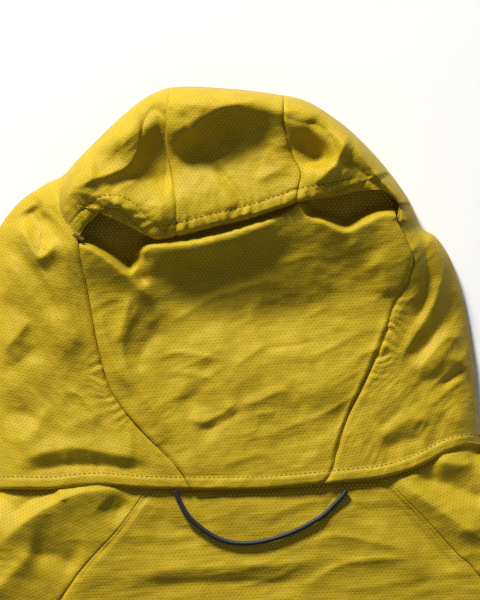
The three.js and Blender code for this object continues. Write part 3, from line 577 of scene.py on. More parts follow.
def smooth_sides(made):
    """Smooth shading on the four-sided faces, while end caps stay flat."""
    for polygon in made.data.polygons:
        polygon.use_smooth = len(polygon.vertices) == 4


def ring_faces(rings, sides):
    """The quads between rings of the same number of points."""
    return [(r * sides + k, r * sides + (k + 1) % sides, (r + 1) * sides + (k + 1) % sides, (r + 1) * sides + k)
            for r in range(rings - 1) for k in range(sides)]


def grid_faces(rows, columns, flip=False):
    r, c = np.meshgrid(np.arange(rows - 1), np.arange(columns - 1), indexing="ij")
    a = (r * columns + c).ravel()
    quads = np.stack([a, a + 1, a + columns + 1, a + columns], axis=1)
    return quads[:, ::-1] if flip else quads


START_FADE = 0.16  # the share of a patch's rows that bend towards its start line


def patch(inner, outer, rows, columns, start=None):
    """Plan positions between two side lines; start, if given, is the line that the first row follows."""
    a = even(inner, rows)[:, None, :]
    b = even(outer, rows)[:, None, :]
    u = np.asarray(columns)[None, :, None]
    plan = a * (1 - u) + b * u
    if start is not None:
        off = even(start, columns) - plan[0]
        plan = plan + off[None] * (1 - smooth(0, START_FADE, np.asarray(rows)))[:, None, None]
    return plan


def between(line, x0, x1):
    """The stretch of a left-to-right line between two values of X."""
    xs = np.linspace(x0, x1, 60)
    return np.c_[xs, np.interp(xs, line[:, 0], line[:, 1])]


def thicken(made, grain, thickness=CLOTH):
    """Turns a surface into cloth: weave coordinates, smooth shading and a thickness inwards."""
    weave_map(made, grain)
    smooth_sides(made)
    shell = made.modifiers.new("thickness", "SOLIDIFY")
    shell.thickness = thickness * MM
    shell.offset = -1


def cloth(name, points, look, grain=0, flip=False, thickness=CLOTH):
    rows, columns = points.shape[:2]
    made = finished(name, points.reshape(-1, 3), grid_faces(rows, columns, flip), look)
    thicken(made, grain, thickness)
    return made


def at_height(plan, height):
    return np.dstack([plan, height(plan[..., 0], plan[..., 1])])


def wrapped(top, under):
    """A top layer and the layer under it, joined at the fold along their last columns."""
    return np.concatenate([top, under[:, ::-1][:, 1:]], axis=1)


def shares(spacing):
    """Row shares that add up to one from a list of (count, length) stretches."""
    steps = np.concatenate([np.full(count, length / count) for count, length in spacing])
    return np.concatenate([[0], np.cumsum(steps)]) / steps.sum()


# ---- Materials ----


class Nodes:
    """A material's node tree, with short calls for the nodes that this scene uses."""

    def __init__(self, name, roughness=0.6, **sockets):
        self.material = bpy.data.materials.new(name)
        self.material.use_nodes = True
        self.tree = self.material.node_tree
        self.shader = self.tree.nodes["Principled BSDF"]
        self.shader.inputs["Roughness"].default_value = roughness
        for socket, value in sockets.items():
            self.shader.inputs[socket.replace("_", " ")].default_value = value

    def add(self, kind, inputs=(), **settings):
        node = self.tree.nodes.new(kind)
        for key, value in settings.items():
            setattr(node, key, value)
        for key, value in dict(inputs).items():
            if isinstance(value, bpy.types.NodeSocket):
                self.tree.links.new(value, node.inputs[key])
            else:
                node.inputs[key].default_value = value
        return node

    def math(self, operation, *values):
        return self.add("ShaderNodeMath", dict(enumerate(values)), operation=operation).outputs[0]

    def mix(self, factor, a, b):
        return self.add("ShaderNodeMix", {0: factor, 6: a, 7: b}, data_type="RGBA").outputs[2]

    def times(self, a, b):
        return self.math("MULTIPLY", a, b)

    def place(self):
        return self.add("ShaderNodeTexCoord").outputs["Object"]

    def weave(self):
        """The weave's coordinates, whole and as X and Y."""
        weave = self.add("ShaderNodeUVMap", uv_map="weave").outputs["UV"]
        xyz = self.add("ShaderNodeSeparateXYZ", {"Vector": weave})
        return weave, xyz.outputs["X"], xyz.outputs["Y"]

    def scaled(self, vector, scale):
        return self.add("ShaderNodeMapping", {"Vector": vector, "Scale": scale}).outputs["Vector"]

    def ramp(self, value, low, high):
        node = self.add("ShaderNodeMapRange", {"Value": value, "From Min": low, "From Max": high})
        return node.outputs["Result"]

    def noise(self, vector, scale, detail=3.0, roughness=0.55):
        inputs = {"Vector": vector, "Scale": scale, "Detail": detail, "Roughness": roughness}
        return self.add("ShaderNodeTexNoise", inputs).outputs["Fac"]

    def bump(self, height, strength, distance):
        chained = self.shader.inputs["Normal"]
        inputs = {"Height": height, "Strength": strength, "Distance": distance}
        if chained.is_linked:
            inputs["Normal"] = chained.links[0].from_socket
        node = self.add("ShaderNodeBump", inputs)
        self.tree.links.new(node.outputs["Normal"], chained)

    def link(self, value, socket):
        self.tree.links.new(value, self.shader.inputs[socket])


def linear(red, green, blue):
    """An sRGB colour of 0 to 255 as a linear one."""
    made = [c / 255 for c in (red, green, blue)]
    return tuple(c / 12.92 if c <= 0.04045 else ((c + 0.055) / 1.055) ** 2.4 for c in made) + (1,)


DOT_PITCH = (2.2, 1.55)  # millimetres along and across the grain, in staggered rows


def shell_fabric():
    """Mustard shell cloth: a fine weave with staggered perforated dots, which carry painted shade in their colour and
    a painted glow.
    """
    n = Nodes("shell_fabric", roughness=0.58, Sheen_Weight=0.03, Sheen_Roughness=0.5)
    n.shader.inputs["Specular IOR Level"].default_value = 0.2
    n.shader.inputs["Sheen Tint"].default_value = linear(255, 236, 130)
    weave, u, v = n.weave()
    row = n.math("FLOOR", n.math("DIVIDE", v, DOT_PITCH[1]))
    shift = n.times(n.math("MODULO", n.math("ABSOLUTE", row), 2.0), 0.5)
    cell_u = n.math("SUBTRACT", n.math("FRACT", n.math("ADD", n.math("DIVIDE", u, DOT_PITCH[0]), shift)), 0.5)
    cell_v = n.math("SUBTRACT", n.math("FRACT", n.math("DIVIDE", v, DOT_PITCH[1])), 0.5)
    du = n.times(cell_u, DOT_PITCH[0])
    dv = n.times(cell_v, DOT_PITCH[1])
    spread = n.math("SQRT", n.math("ADD", n.times(du, du), n.times(dv, dv)))
    dot = n.math("SUBTRACT", 1.0, n.ramp(spread, 0.18, 0.48))
    mottled = n.noise(weave, 0.09, 4)
    thread = n.scaled(weave, (0.35, 2.4, 1))
    heather = n.noise(thread, 1.0, 2)
    colour = n.mix(n.ramp(mottled, 0.3, 0.7), linear(178, 150, 20), linear(194, 166, 28))
    colour = n.mix(n.times(n.ramp(heather, 0.35, 0.75), 0.4), colour, linear(146, 118, 8))
    # painted shade: the dots' colour is darkened to stand in for shadow inside the perforations
    colour = n.mix(n.times(dot, 0.5), colour, linear(104, 80, 4))
    n.link(colour, "Base Color")
    # painted light: the dots glow by emission, standing in for light seen through the perforations in shaded places
    n.link(n.mix(dot, (0, 0, 0, 1), linear(196, 170, 70)), "Emission Color")
    n.shader.inputs["Emission Strength"].default_value = 0.16
    cross = n.times(n.math("SINE", n.times(u, 11.0)), n.math("SINE", n.times(v, 11.0)))
    n.bump(cross, 0.25, 0.00004)
    n.bump(n.noise(weave, 1.6, 3), 0.35, 0.00012)
    creased = n.scaled(weave, (0.10, 0.26, 1))
    n.bump(n.noise(creased, 1.0, 5, 0.6), 0.5, 0.0009)
    n.bump(dot, 0.6, -0.0002)
    return n.material


def lining_fabric():
    """The inside: the same cloth without the dots, smooth and a shade darker."""
    n = Nodes("lining_fabric", roughness=0.62, Sheen_Weight=0.1)
    place = n.place()
    cloudy = n.noise(place, 60, 4)
    threads = n.noise(n.scaled(place, (500, 2500, 900)), 1)
    colour = n.mix(cloudy, linear(150, 122, 18), linear(172, 144, 30))
    n.link(n.mix(n.times(threads, 0.3), colour, linear(118, 92, 10)), "Base Color")
    n.bump(threads, 0.3, 0.0001)
    return n.material


def cord_braid():
    """Dark navy round cord with a fine braid that turns both ways."""
    n = Nodes("cord_braid", roughness=0.55, Sheen_Weight=0.06)
    _, along, around = n.weave()
    waves = [n.math("SINE", n.math(way, n.times(along, 5.0), n.times(around, 12.566))) for way in ("ADD", "SUBTRACT")]
    strands = n.math("MAXIMUM", *waves)
    n.link(n.mix(n.ramp(strands, -0.2, 1.0), linear(10, 15, 22), linear(27, 38, 48)), "Base Color")
    n.bump(strands, 0.5, 0.00012)
    return n.material


def thread(name, colour, dark):
    n = Nodes(name, roughness=0.6, Sheen_Weight=0.05)
    place = n.place()
    twist = n.noise(place, 2600, 2)
    n.link(n.mix(twist, colour, dark), "Base Color")
    n.bump(twist, 0.4, 0.00005)
    return n.material


def hard(name, base, worn, roughness, metallic=0.0):
    """Moulded plastic or painted metal with faint mottling and finer, uneven gloss."""
    n = Nodes(name, roughness=roughness, Metallic=metallic)
    place = n.place()
    speckle = n.noise(place, 900, 4, 0.6)
    n.link(n.mix(n.ramp(speckle, 0.45, 0.75), base, worn), "Base Color")
    n.link(n.ramp(n.noise(place, 350, 3), -0.6, 2.2), "Roughness")
    n.bump(speckle, 0.15, 0.00004)
    return n.material


def floor_paint():
    n = Nodes("floor_paint", roughness=0.9)
    n.shader.inputs["Specular IOR Level"].default_value = 0.1
    place = n.place()
    n.link(n.mix(n.noise(place, 3), (0.965, 0.97, 0.98, 1), (0.98, 0.985, 0.99, 1)), "Base Color")
    return n.material


# Each look is a material and the slot it goes with.
SHELL = (shell_fabric(), "shell")
LINING = (lining_fabric(), "lining")
BRAID = (cord_braid(), "cord")
THREAD = (thread("seam_thread", linear(128, 100, 10), linear(84, 62, 4)), "lining")
TAPE = (thread("zip_tape", linear(120, 98, 18), linear(86, 68, 8)), "tape")
METAL = (hard("black_metal", linear(40, 42, 45), linear(96, 98, 100), 0.35, 0.85), "metal")
PLASTIC = (hard("black_plastic", linear(28, 31, 34), linear(52, 55, 58), 0.5), "plastic")
CHAIN = (hard("zip_chain", linear(96, 80, 22), linear(128, 108, 36), 0.4), "chain")

# ---- Camera, light and floor ----

VIEW_CENTRE = (-5.2, 97.2)
VIEW_HEIGHT = 312.0  # what the camera sees up and down at the neck's level
NECK_TOP = 23.0
CAMERA_UP = 2400.0
FLOOR_GAP = 0.0003


def camera():
    made = bpy.data.objects.new("camera", bpy.data.cameras.new("camera"))
    bpy.context.collection.objects.link(made)
    made.location = to_frame([*VIEW_CENTRE, NECK_TOP + CAMERA_UP])
    made.data.sensor_fit = "AUTO"
    made.data.lens = made.data.sensor_width * CAMERA_UP / VIEW_HEIGHT
    made.data.clip_end = 20
    bpy.context.scene.camera = made


def light(name, towards, distance, size, power, colour):
    lamp = bpy.data.lights.new(name, "AREA")
    lamp.energy, lamp.size, lamp.color = power, size, colour
    made = bpy.data.objects.new(name, lamp)
    bpy.context.collection.objects.link(made)
    direction = np.array(towards, float) / np.linalg.norm(towards)
    target = to_frame([0, 60, 0])
    made.location = target + direction * distance
    aim = made.location - Vector(target)
    made.rotation_mode = "QUATERNION"
    made.rotation_quaternion = aim.to_track_quat("Z", "Y")


def studio():
    bpy.context.scene.view_settings.view_transform = "Standard"
    light("key", (-0.42, 0.90, 0.50), distance=4.2, size=0.8, power=315, colour=(1.0, 0.985, 0.95))
    light("fill", (0.5, -0.3, 1.2), distance=3.0, size=2.5, power=4, colour=(0.92, 0.96, 1.0))
    world = bpy.data.worlds.new("studio")
    world.use_nodes = True
    sky = world.node_tree.nodes["Background"].inputs
    sky["Color"].default_value = (0.86, 0.92, 1.0, 1)
    sky["Strength"].default_value = 0.13
    bpy.context.scene.world = world
    bpy.ops.mesh.primitive_plane_add(size=12, location=(0, 0, CAD_BOX[0][2] - FLOOR_GAP))
    floor = bpy.context.object
    floor.name = "floor"
    floor.data.materials.append(floor_paint())


# ---- Cords ----


def tube(name, route, diameter, look, sides=16, steps=8):
    """A closed round tube along a route in millimetres, with the braid's coordinates on it."""
    line = spline(route, steps)
    ahead = np.gradient(line, axis=0)
    ahead /= np.linalg.norm(ahead, axis=1)[:, None]
    across = np.cross(ahead, [0, 0, 1])
    across /= np.linalg.norm(across, axis=1)[:, None]
    up = np.cross(across, ahead)
    turn = circle(sides)
    ring = np.cos(turn)[None, :, None] * across[:, None] + np.sin(turn)[None, :, None] * up[:, None]
    points = line[:, None] + ring * diameter / 2
    last = (len(line) - 1) * sides
    faces = ring_faces(len(line), sides) + [tuple(range(sides))[::-1], tuple(range(last, last + sides))]
    made = finished(name, points.reshape(-1, 3), faces, look)
    lengths = arc(line)
    layer = made.data.uv_layers.new(name="weave")
    smooth_sides(made)
    for polygon in made.data.polygons:
        for loop, vertex in zip(polygon.loop_indices, polygon.vertices):
            layer.data[loop].uv = (lengths[vertex // sides], vertex % sides / sides)
    return made, line


LOOP_ROUTE = [
    (-39, -2, 23.3), (-37.8, -5, 23.3), (-36, -9, 23.2), (-31.2, -16.1, 23.1), (-23.4, -22.9, 22.9),
    (-14.6, -27.6, 22.7), (-5.2, -29.4, 22.7), (5.2, -28.6, 22.7), (15.6, -26, 22.8), (26, -21.8, 22.9),
    (35.4, -16.6, 23.1), (40, -13.2, 23.1), (43.2, -9.9, 23.2), (46.2, -6.8, 23.2), (48.4, -4.4, 23.3), (50, -2, 23.3),
]
LOOP_DIAMETER = 2.6


def hang_loop():
    made, line = tube("hang_loop_cord", LOOP_ROUTE, LOOP_DIAMETER, BRAID)
    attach(made, "shell")
    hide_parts("hang_loop")
    path = to_frame(line)
    arc(line)[-1] * MM


camera()
studio()
hang_loop()

# ---- Hood pieces ----

BEND = (to_frame([0, -2, 0]), to_frame([0, 34, 0]))  # where the hood's fold begins and ends
CROWN_TOP = CROWN_EDGE[40:100]  # from beside the left crown seam to beside the right one
VISOR_HALF, VISOR_Y = 28, 184.0  # the centre strip's end, at the top of the face opening
FACE_EDGE = spline([(8, 1.2), (8, 45), (9, 78), (34, 86), (58, 98), (70, 125), (68, 150), (50, 172), (28, 184)])


def bends(made):
    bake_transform(made)


def sewn(made, node, body=None):
    """Puts the piece in a CAD node's place, on a body or, without one, with its transform baked into the mesh."""
    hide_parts(node)
    if body:
        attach(made, body)
    else:
        bends(made)


def hood_lower_back():
    # Both seams run on under the crown.
    left = np.vstack([SEAM_LEFT, [(-87.5, 137), (-80, 149)]])
    right = np.vstack([SEAM_RIGHT, [(75, 147), (72, 158)]])
    rows, columns = unit(150), unit(150)
    plan = patch(left, right, rows, columns, between(NECK, left[0, 0], right[0, 0]))
    sewn(cloth("hood_lower_back_panel", at_height(plan, lower_height), SHELL, 3), "hood_lower_back")


def hood_side(side):
    seam = SEAM[side]
    hem = HEM_LEFT if side < 0 else HEM_RIGHT[::-1]
    crown_seam = CROWN_SEAM_LEFT if side < 0 else CROWN_SEAM_RIGHT
    inner = np.vstack([seam, hem[1:], crown_seam[1:]])
    outline = HOOD_OUTLINE[side]
    start = between(NECK, seam[0, 0], outline[0, 0])
    rows, columns = unit(230), unit(96)
    plan = patch(inner, outline, rows, columns, start)
    top = at_height(plan, lambda x, y: hood_side_height(x, y, outline, side))
    face = mirrored(FACE_EDGE, side)
    low = patch(face, outline, rows, unit(22))
    under = at_height(low, front_height)
    name = "hood_side_" + HAND[side]
    sewn(cloth(name + "_panel", wrapped(top, under), SHELL, 12 * side, flip=side < 0), name)


def hood_centre():
    rows, columns = unit(80), unit(60)
    plan = patch(CROWN_SEAM_LEFT, CROWN_SEAM_RIGHT, rows, columns, HEM_MIDDLE)
    plan[-1] = even(between(CROWN_TOP, CROWN_SEAM_LEFT[-1, 0], CROWN_SEAM_RIGHT[-1, 0]), columns)
    top = at_height(plan, crown_height)
    visor = np.c_[np.linspace(-VISOR_HALF, VISOR_HALF, 60), np.full(60, VISOR_Y)]
    steps = unit(14)[:, None, None]
    under = at_height(plan[-1][None] * (1 - steps) + visor[None] * steps, front_height)
    sewn(cloth("hood_centre_panel", np.concatenate([top, under[1:]]), SHELL, -4), "hood_centre_strip")


hood_lower_back()
hood_side(-1)
hood_side(1)
hood_centre()


# ---- Body pieces ----


def front_neck(x):
    """Where the front layer meets the hood, in Y."""
    return np.where(x < 0, -3 * x / NECK_LEFT[0], NECK_RIGHT[1] * x / NECK_RIGHT[0])


def front_raglan(side):
    top = 70 * side
    return np.array([(top, front_neck(top)), (110 * side, -60), (165 * side, -140), (UNDERARM[0] * side, UNDERARM[1])])


BODY_ROWS = shares([(92, 110), (60, 620)])
NECK_TUCK = np.array([0, 2.6])  # the body's cloth runs on under the hood's seam allowance


def back_panel():
    hem = (UNDERARM[0], SHELL_END)
    left = np.vstack([RAGLAN_LEFT, mirrored([hem], -1)])
    right = np.vstack([RAGLAN_RIGHT, [hem]])
    plan = patch(left, right, BODY_ROWS, unit(112), between(NECK, left[0, 0], right[0, 0]) + NECK_TUCK)
    sewn(cloth("back_panel_cloth", at_height(plan, body_height), SHELL, 2, flip=True), "back_panel")


def sleeve(side):
    to_cuff = mirrored([ELBOW, CUFF_INNER], side)
    seam = np.vstack([RAGLAN[side], to_cuff])
    front = np.vstack([front_raglan(side), to_cuff])
    outer = OVERARM[side]
    start = between(NECK, seam[0, 0], outer[0, 0]) + NECK_TUCK
    top = at_height(patch(seam, outer, BODY_ROWS, unit(74), start), body_height)
    under = at_height(patch(front, outer, BODY_ROWS, unit(14)), front_height)
    name = "sleeve_" + HAND[side]
    sewn(cloth(name + "_cloth", wrapped(top, under), SHELL, 28 * side, flip=side > 0), name)


def steps(*stops):
    """Values from each stop to the next in the given number of steps: first, (stop, count), ..."""
    made = [np.array([stops[0]])]
    for stop, count in stops[1:]:
        made.append(np.linspace(made[-1][-1], stop, count + 1)[1:])
    return np.concatenate(made)


POCKET_CUT = 6  # from the pocket zip's middle to the panel's edge
ZIP_CUT = 8


def front_panel(side):
    raglan = front_raglan(side) * [side, 1]
    upper = even(raglan, unit(34))[:-1]
    ys = steps(UNDERARM[1], (-300, 4), (POCKET_TOP, 10), (POCKET_END, 40), (-520, 10), (SHELL_END, 18))
    outer = np.vstack([upper, np.c_[np.full(len(ys), UNDERARM[0]), ys]])
    pocket = POCKET_X
    xs = steps(ZIP_CUT, (40, 16), (118, 12), (pocket - POCKET_CUT, 10), (pocket + POCKET_CUT, 4), (182, 10),
               (UNDERARM[0], 14))
    share = (xs - ZIP_CUT) / (UNDERARM[0] - ZIP_CUT)
    x = ZIP_CUT + (outer[:, :1] - ZIP_CUT) * share
    y = np.repeat(outer[:, 1:], len(xs), axis=1)
    neck = front_neck(side * x[0])
    y = y + (neck - y[0]) * (1 - smooth(0, 8, np.arange(len(outer))))[:, None]
    points = at_height(np.dstack([side * x, y]), front_height)
    rows, columns = x.shape
    middle = (points[:-1, :-1] + points[1:, 1:]) / 2
    inside = np.abs(np.abs(middle[..., 0]) - pocket) < POCKET_CUT
    inside &= (middle[..., 1] < POCKET_TOP) & (middle[..., 1] > POCKET_END)
    faces = grid_faces(rows, columns, side < 0)[~inside.ravel()]
    name = "front_panel_" + HAND[side]
    made = finished(name + "_cloth", points.reshape(-1, 3), faces, SHELL)
    thicken(made, 1)
    sewn(made, name)


back_panel()
for hand in (-1, 1):
    sleeve(hand)
    front_panel(hand)

# ---- Stitches ----


STITCH_PITCH, STITCH_LENGTH, STITCH_WIDTH = 2.5, 1.75, 0.5


def stitches(name, line, height):
    """Short raised threads along a line in plan."""
    count = int(arc(line)[-1] / STITCH_PITCH)
    middle = even(line, (np.arange(count) + 0.5) / count)
    ahead = even(line, (np.arange(count) + 0.6) / count) - even(line, (np.arange(count) + 0.4) / count)
    ahead /= np.linalg.norm(ahead, axis=1)[:, None] + 1e-9
    across = np.c_[-ahead[:, 1], ahead[:, 0]]
    turn = circle(6)
    rings = []
    for at, radius, lift in ((-1, 0.25, -0.12), (-0.7, 0.9, 0.1), (0, 1, 0.2), (0.7, 0.9, 0.1), (1, 0.25, -0.12)):
        centre = middle + ahead * at * STITCH_LENGTH / 2
        z = height(centre[:, 0], centre[:, 1]) + lift
        plan = centre[:, None] + across[:, None] * (np.cos(turn) * radius * STITCH_WIDTH / 2)[None, :, None]
        tall = z[:, None] + np.sin(turn)[None, :] * radius * STITCH_WIDTH / 2
        rings.append(np.dstack([plan, tall]))
    points = np.stack(rings, axis=1).reshape(-1, 3)
    faces = (np.array(ring_faces(5, 6))[None] + 30 * np.arange(count)[:, None, None]).reshape(-1, 4)
    made = finished(name, points, faces, THREAD)
    smooth_sides(made)
    return made


def offset_line(line, distance):
    """The line moved to its left by a distance."""
    ahead = np.gradient(line, axis=0)
    ahead /= np.linalg.norm(ahead, axis=1)[:, None] + 1e-9
    return line + distance * np.c_[-ahead[:, 1], ahead[:, 0]]


def top_height(x, y):
    """The visible hood surface below the slit."""
    left, _ = track(x, y, SEAM_LEFT)
    right, _ = track(x, y, SEAM_RIGHT)
    low = lower_height(x, y)
    right_or_low = np.where(right < 0, side_height(x, y, HOOD_RIGHT, 1), low)
    return np.where(left > 0, side_height(x, y, HOOD_LEFT, -1), right_or_low)


neck_line = even(NECK, unit(400))
neck_line = neck_line[(neck_line[:, 0] > NECK_LEFT[0] + 1) & (neck_line[:, 0] < NECK_RIGHT[0] - 1)]
bends(stitches("neck_topstitch", offset_line(neck_line, TOPSTITCH), top_height))
for name, hem, span in (("left", HEM_LEFT, (0.3, 0.98)), ("middle", HEM_MIDDLE, (0.02, 0.98)),
                        ("right", HEM_RIGHT, (0.02, 0.5))):
    bends(stitches("slit_topstitch_" + name, offset_line(even(hem, np.linspace(*span, 60)), HEM_STITCH), crown_height))


# ---- Hem bands ----


def hem_bands():
    rows = unit(14)

    def plan(x0, x1, count):
        xs, ys = np.meshgrid(np.linspace(x0, x1, count), SHELL_END - BAND_GAP - (BAND - BAND_GAP) * rows)
        return np.dstack([xs, ys])

    def band_height(x, y):
        edge = 1 - smooth(0, 3, y - HEM_Y)
        return body_height(x, y) + 0.25 - 0.9 * edge

    made = cloth("hem_band_back_cloth", at_height(plan(-UNDERARM[0], UNDERARM[0], 180), band_height),
                 SHELL, 1, flip=True, thickness=BAND_CLOTH)
    sewn(made, "hem_band_back", "shell")
    for side, name in HAND.items():
        made = cloth("hem_band_front_" + name + "_cloth",
                     at_height(plan(side * ZIP_CUT, side * UNDERARM[0], 90), front_height),
                     SHELL, 1, flip=side < 0, thickness=BAND_CLOTH)
        sewn(made, "hem_band_front_" + name, "shell")


hem_bands()


# ---- Tape, elastic and binding at the hood ----


def strip(name, edge, far, height, look, flip=False, thickness=0.5, grain=0):
    """A band of cloth between two lines with the same number of points."""
    share = unit(6)[None, :, None]
    plan = edge[:, None] * (1 - share) + far[:, None] * share
    return cloth(name, at_height(plan, height), look, grain, flip, thickness)


def neck_tape():
    line = neck_line[np.abs(neck_line[:, 0]) < 108]
    made = strip("neck_tape_cloth", offset_line(line, 1), offset_line(line, 10),
                 lambda x, y: top_height(x, y) - 2.0, TAPE)
    sewn(made, "neck_tape")


def slit_elastic():
    hem = np.vstack([even(HEM_LEFT, np.linspace(0.06, 1, 70)), even(HEM_MIDDLE, unit(80))[1:],
                     even(HEM_RIGHT, np.linspace(0, 0.94, 70))[1:]])
    made = strip("slit_elastic_cloth", offset_line(hem, 0.6), offset_line(hem, 6),
                 lambda x, y: crown_height(x, y) - 1.1, (LINING[0], "shell"), flip=True, thickness=0.8)
    sewn(made, "slit_elastic_channel")


def bartack(side):
    """A dense zigzag of thread where the slit's hem meets a back seam."""
    x, y = (-89, 130) if side < 0 else (77.5, 137.5)
    turn = math.radians(-30 if side < 0 else 25)
    along = np.linspace(-3, 3, 22)
    over = 0.95 * np.where(np.arange(len(along)) % 2, 1, -1)
    px = x + along * math.cos(turn) - over * math.sin(turn)
    py = y + along * math.sin(turn) + over * math.cos(turn)
    pz = np.maximum(crown_height(px, py), hood_side_height(px, py, HOOD_OUTLINE[side], side)) + 0.25
    name = "slit_bartack_" + HAND[side]
    made, _ = tube(name + "_thread", np.c_[px, py, pz], STITCH_WIDTH, THREAD, sides=6, steps=3)
    sewn(made, name)


def face_binding():
    line = even(FACE_EDGE[20:], unit(90))  # above the zip
    loop = np.vstack([mirrored(line, -1), line[::-1]])
    middle = np.array([0, 131])  # of the face opening
    outer, inner = (middle + (loop - middle) * size for size in (0.985, 0.885))
    made = strip("face_binding_cloth", outer, inner, lambda x, y: front_height(x, y) + 0.3, SHELL,
                 flip=True, thickness=BAND_CLOTH, grain=20)
    sewn(made, "face_binding")


neck_tape()
slit_elastic()
face_binding()
for hand in (-1, 1):
    bartack(hand)

# ---- Zips ----
# From the surface upwards: pull, slider, teeth and tape, storm flap or pocket bag.
TAPE_Z = 3.5
TAPE_IN, TAPE_OUT = 2.8, 15.0
TEETH_Z = (3.2, 4.7)
MAIN_ZIP = (-656, -1)
OVER_TAPE, OVER_SLIDER = 4.45, 6.1  # the flap's height where it is sewn down, and elsewhere
FLAP_ENDS = (-6, -638)
POCKET_BAG = ((90, -528), (238, -292))  # two opposite corners


def blocks(name, centres, size, look, taper=0.8):
    """Many small moulded blocks; the lower and upper faces are narrower by the taper."""
    half = np.array(size) / 2
    ring = np.array([(-1, -1), (1, -1), (1, 1), (-1, 1)], float)
    layers = [(-1, taper), (-0.45, 1.0), (0.45, 1.0), (1, taper)]
    local = np.vstack([np.c_[ring * t * half[:2], np.full(4, h * half[2])] for h, t in layers])
    points = (np.asarray(centres, float)[:, None] + local[None]).reshape(-1, 3)
    faces = [(3, 2, 1, 0), (12, 13, 14, 15)] + ring_faces(4, 4)
    faces = (np.array(faces)[None] + 16 * np.arange(len(centres))[:, None, None]).reshape(-1, 4)
    return finished(name, points, faces, look)


def teeth(x, side, y0, y1, pitch=2.2):
    """Centres of a row of teeth on one side of a zip's middle."""
    ys = np.arange(y1 - 0.8 - (0 if side < 0 else pitch / 2), y0 + 0.6, -pitch)
    return np.c_[np.full(len(ys), x + side * 1.5), ys, np.full(len(ys), sum(TEETH_Z) / 2)]


TOOTH = (2.0, 1.3, TEETH_Z[1] - TEETH_Z[0])


def zip_tape(name, x, side, ys):
    edge, far = (np.c_[np.full(len(ys), x + side * out), ys] for out in (TAPE_IN, TAPE_OUT))
    return strip(name, edge, far, lambda px, py: TAPE_Z + 0.04 * np.sin(py / 3), TAPE, flip=side > 0, thickness=0.55)


def main_zip():
    for side, name in HAND.items():
        for part, ends, row, body in (("main", MAIN_ZIP, (-646, -3.4), "shell"), ("collar", (3, 75), (3, 72), None)):
            tape, chain = part + "_zip_tape_" + name, part + "_zip_teeth_" + name
            ys = np.linspace(*ends, int((ends[1] - ends[0]) / 4))
            sewn(zip_tape(tape + "_cloth", 0, side, ys), tape, body)
            sewn(blocks(chain + "_row", teeth(0, side, *row), TOOTH, CHAIN), chain, body)
    ys = np.linspace(*FLAP_ENDS, 180)
    xs = np.array([-15, -12.5, -10, -8.5, -7, -3, 1, 5, 9, 12, 15])
    level = np.interp(xs, [-10, -7], [OVER_TAPE, OVER_SLIDER])
    points = np.dstack([*np.meshgrid(xs, ys), np.repeat(level[None], len(ys), axis=0)])
    points[..., 2] += 0.12 * (1 + noise(points[..., 0] / 9, points[..., 1] / 24, 61)) * (points[..., 0] > -6)
    made = cloth("storm_flap_cloth", points, LINING, 0, flip=True, thickness=0.7)
    made.modifiers["thickness"].offset = 1
    sewn(made, "storm_flap", "shell")


def pocket(side):
    name = HAND[side]
    x = side * POCKET_X
    y1, y0 = POCKET_TOP - 4, POCKET_END + 4  # the teeth's ends
    tape = "pocket_zip_tape_" + name
    for hand in HAND:
        edge_name = "_outer" if hand == side else "_inner"
        sewn(zip_tape(tape + edge_name, x, hand, np.linspace(y0 - 8, y1 + 8, 50)), tape, "shell")
    centres = np.vstack([teeth(x, -1, y0, y1), teeth(x, 1, y0, y1)])
    chain = blocks("pocket_zip_chain_" + name + "_rows", centres, TOOTH, CHAIN)
    sewn(chain, "pocket_zip_chain_" + name, "shell")
    stop = blocks("pocket_zip_stop_" + name, [(x, y0 + 1.5, sum(TEETH_Z) / 2)], (5, 5, 1.5), CHAIN, 0.9)
    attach(stop, "shell")
    lo, hi = POCKET_BAG
    px, py = np.meshgrid(np.linspace(lo[0], hi[0], 60), np.linspace(lo[1], hi[1], 90))
    inset = np.minimum(np.minimum(px - lo[0], hi[0] - px), np.minimum(py - lo[1], hi[1] - py))
    wrinkle = 0.5 * (1 + noise(px / 28, py / 36, 83 + side)) + 0.3 * (1 + noise(px / 11, py / 15, 85 + side))
    level = 1.3 + (OVER_SLIDER - 1.1) * smooth(8, 22, inset) + wrinkle * smooth(12, 30, inset)
    level = np.maximum(level, front_height(px, py) + 0.6)
    bag = cloth("pocket_bag_" + name + "_cloth", np.dstack([side * px, py, level]), LINING, 0, flip=side < 0)
    bag.modifiers["thickness"].offset = 1
    sewn(bag, "pocket_bag_" + name, "shell")


main_zip()
for hand in (-1, 1):
    pocket(hand)

# ---- Hem casing, drawcord, cuffs and hard pieces ----
CASING_HALF, DRAWCORD_HALF = 210, 233
CASING_WIDE, CASING_TALL = 7.4, 2.7  # half its width and height
DRAWCORD_DIAMETER = 2.4
CORD_Z = 9.8
BAND_MIDDLE = HEM_Y + BAND / 2


def casing():
    """A flattened tube with round corners."""
    turn = np.linspace(0, 2 * math.pi, 25)[:-1]
    xs = np.linspace(-CASING_HALF, CASING_HALF, 150)
    px, angle = np.meshgrid(xs, turn, indexing="ij")
    y = BAND_MIDDLE + CASING_WIDE * np.sign(np.cos(angle)) * np.abs(np.cos(angle)) ** 0.35
    rough = 0.18 * noise(px / 9, angle * 1.6, 44)
    z = CORD_Z + 1.0 + (CASING_TALL + rough) * np.sign(np.sin(angle)) * np.abs(np.sin(angle)) ** 0.5
    points = np.dstack([px, y, z]).reshape(-1, 3)
    faces = [(a, d, c, b) for a, b, c, d in ring_faces(150, 24)]
    made = finished("hem_casing_cloth", points, faces, LINING)
    thicken(made, 0, 0.6)
    sewn(made, "hem_casing", "shell")
    route = [(x, BAND_MIDDLE, CORD_Z) for x in (-DRAWCORD_HALF, 0, DRAWCORD_HALF)]
    cord, _ = tube("hem_drawcord_braid", route, DRAWCORD_DIAMETER, BRAID, steps=60)
    sewn(cord, "hem_drawcord", "shell")


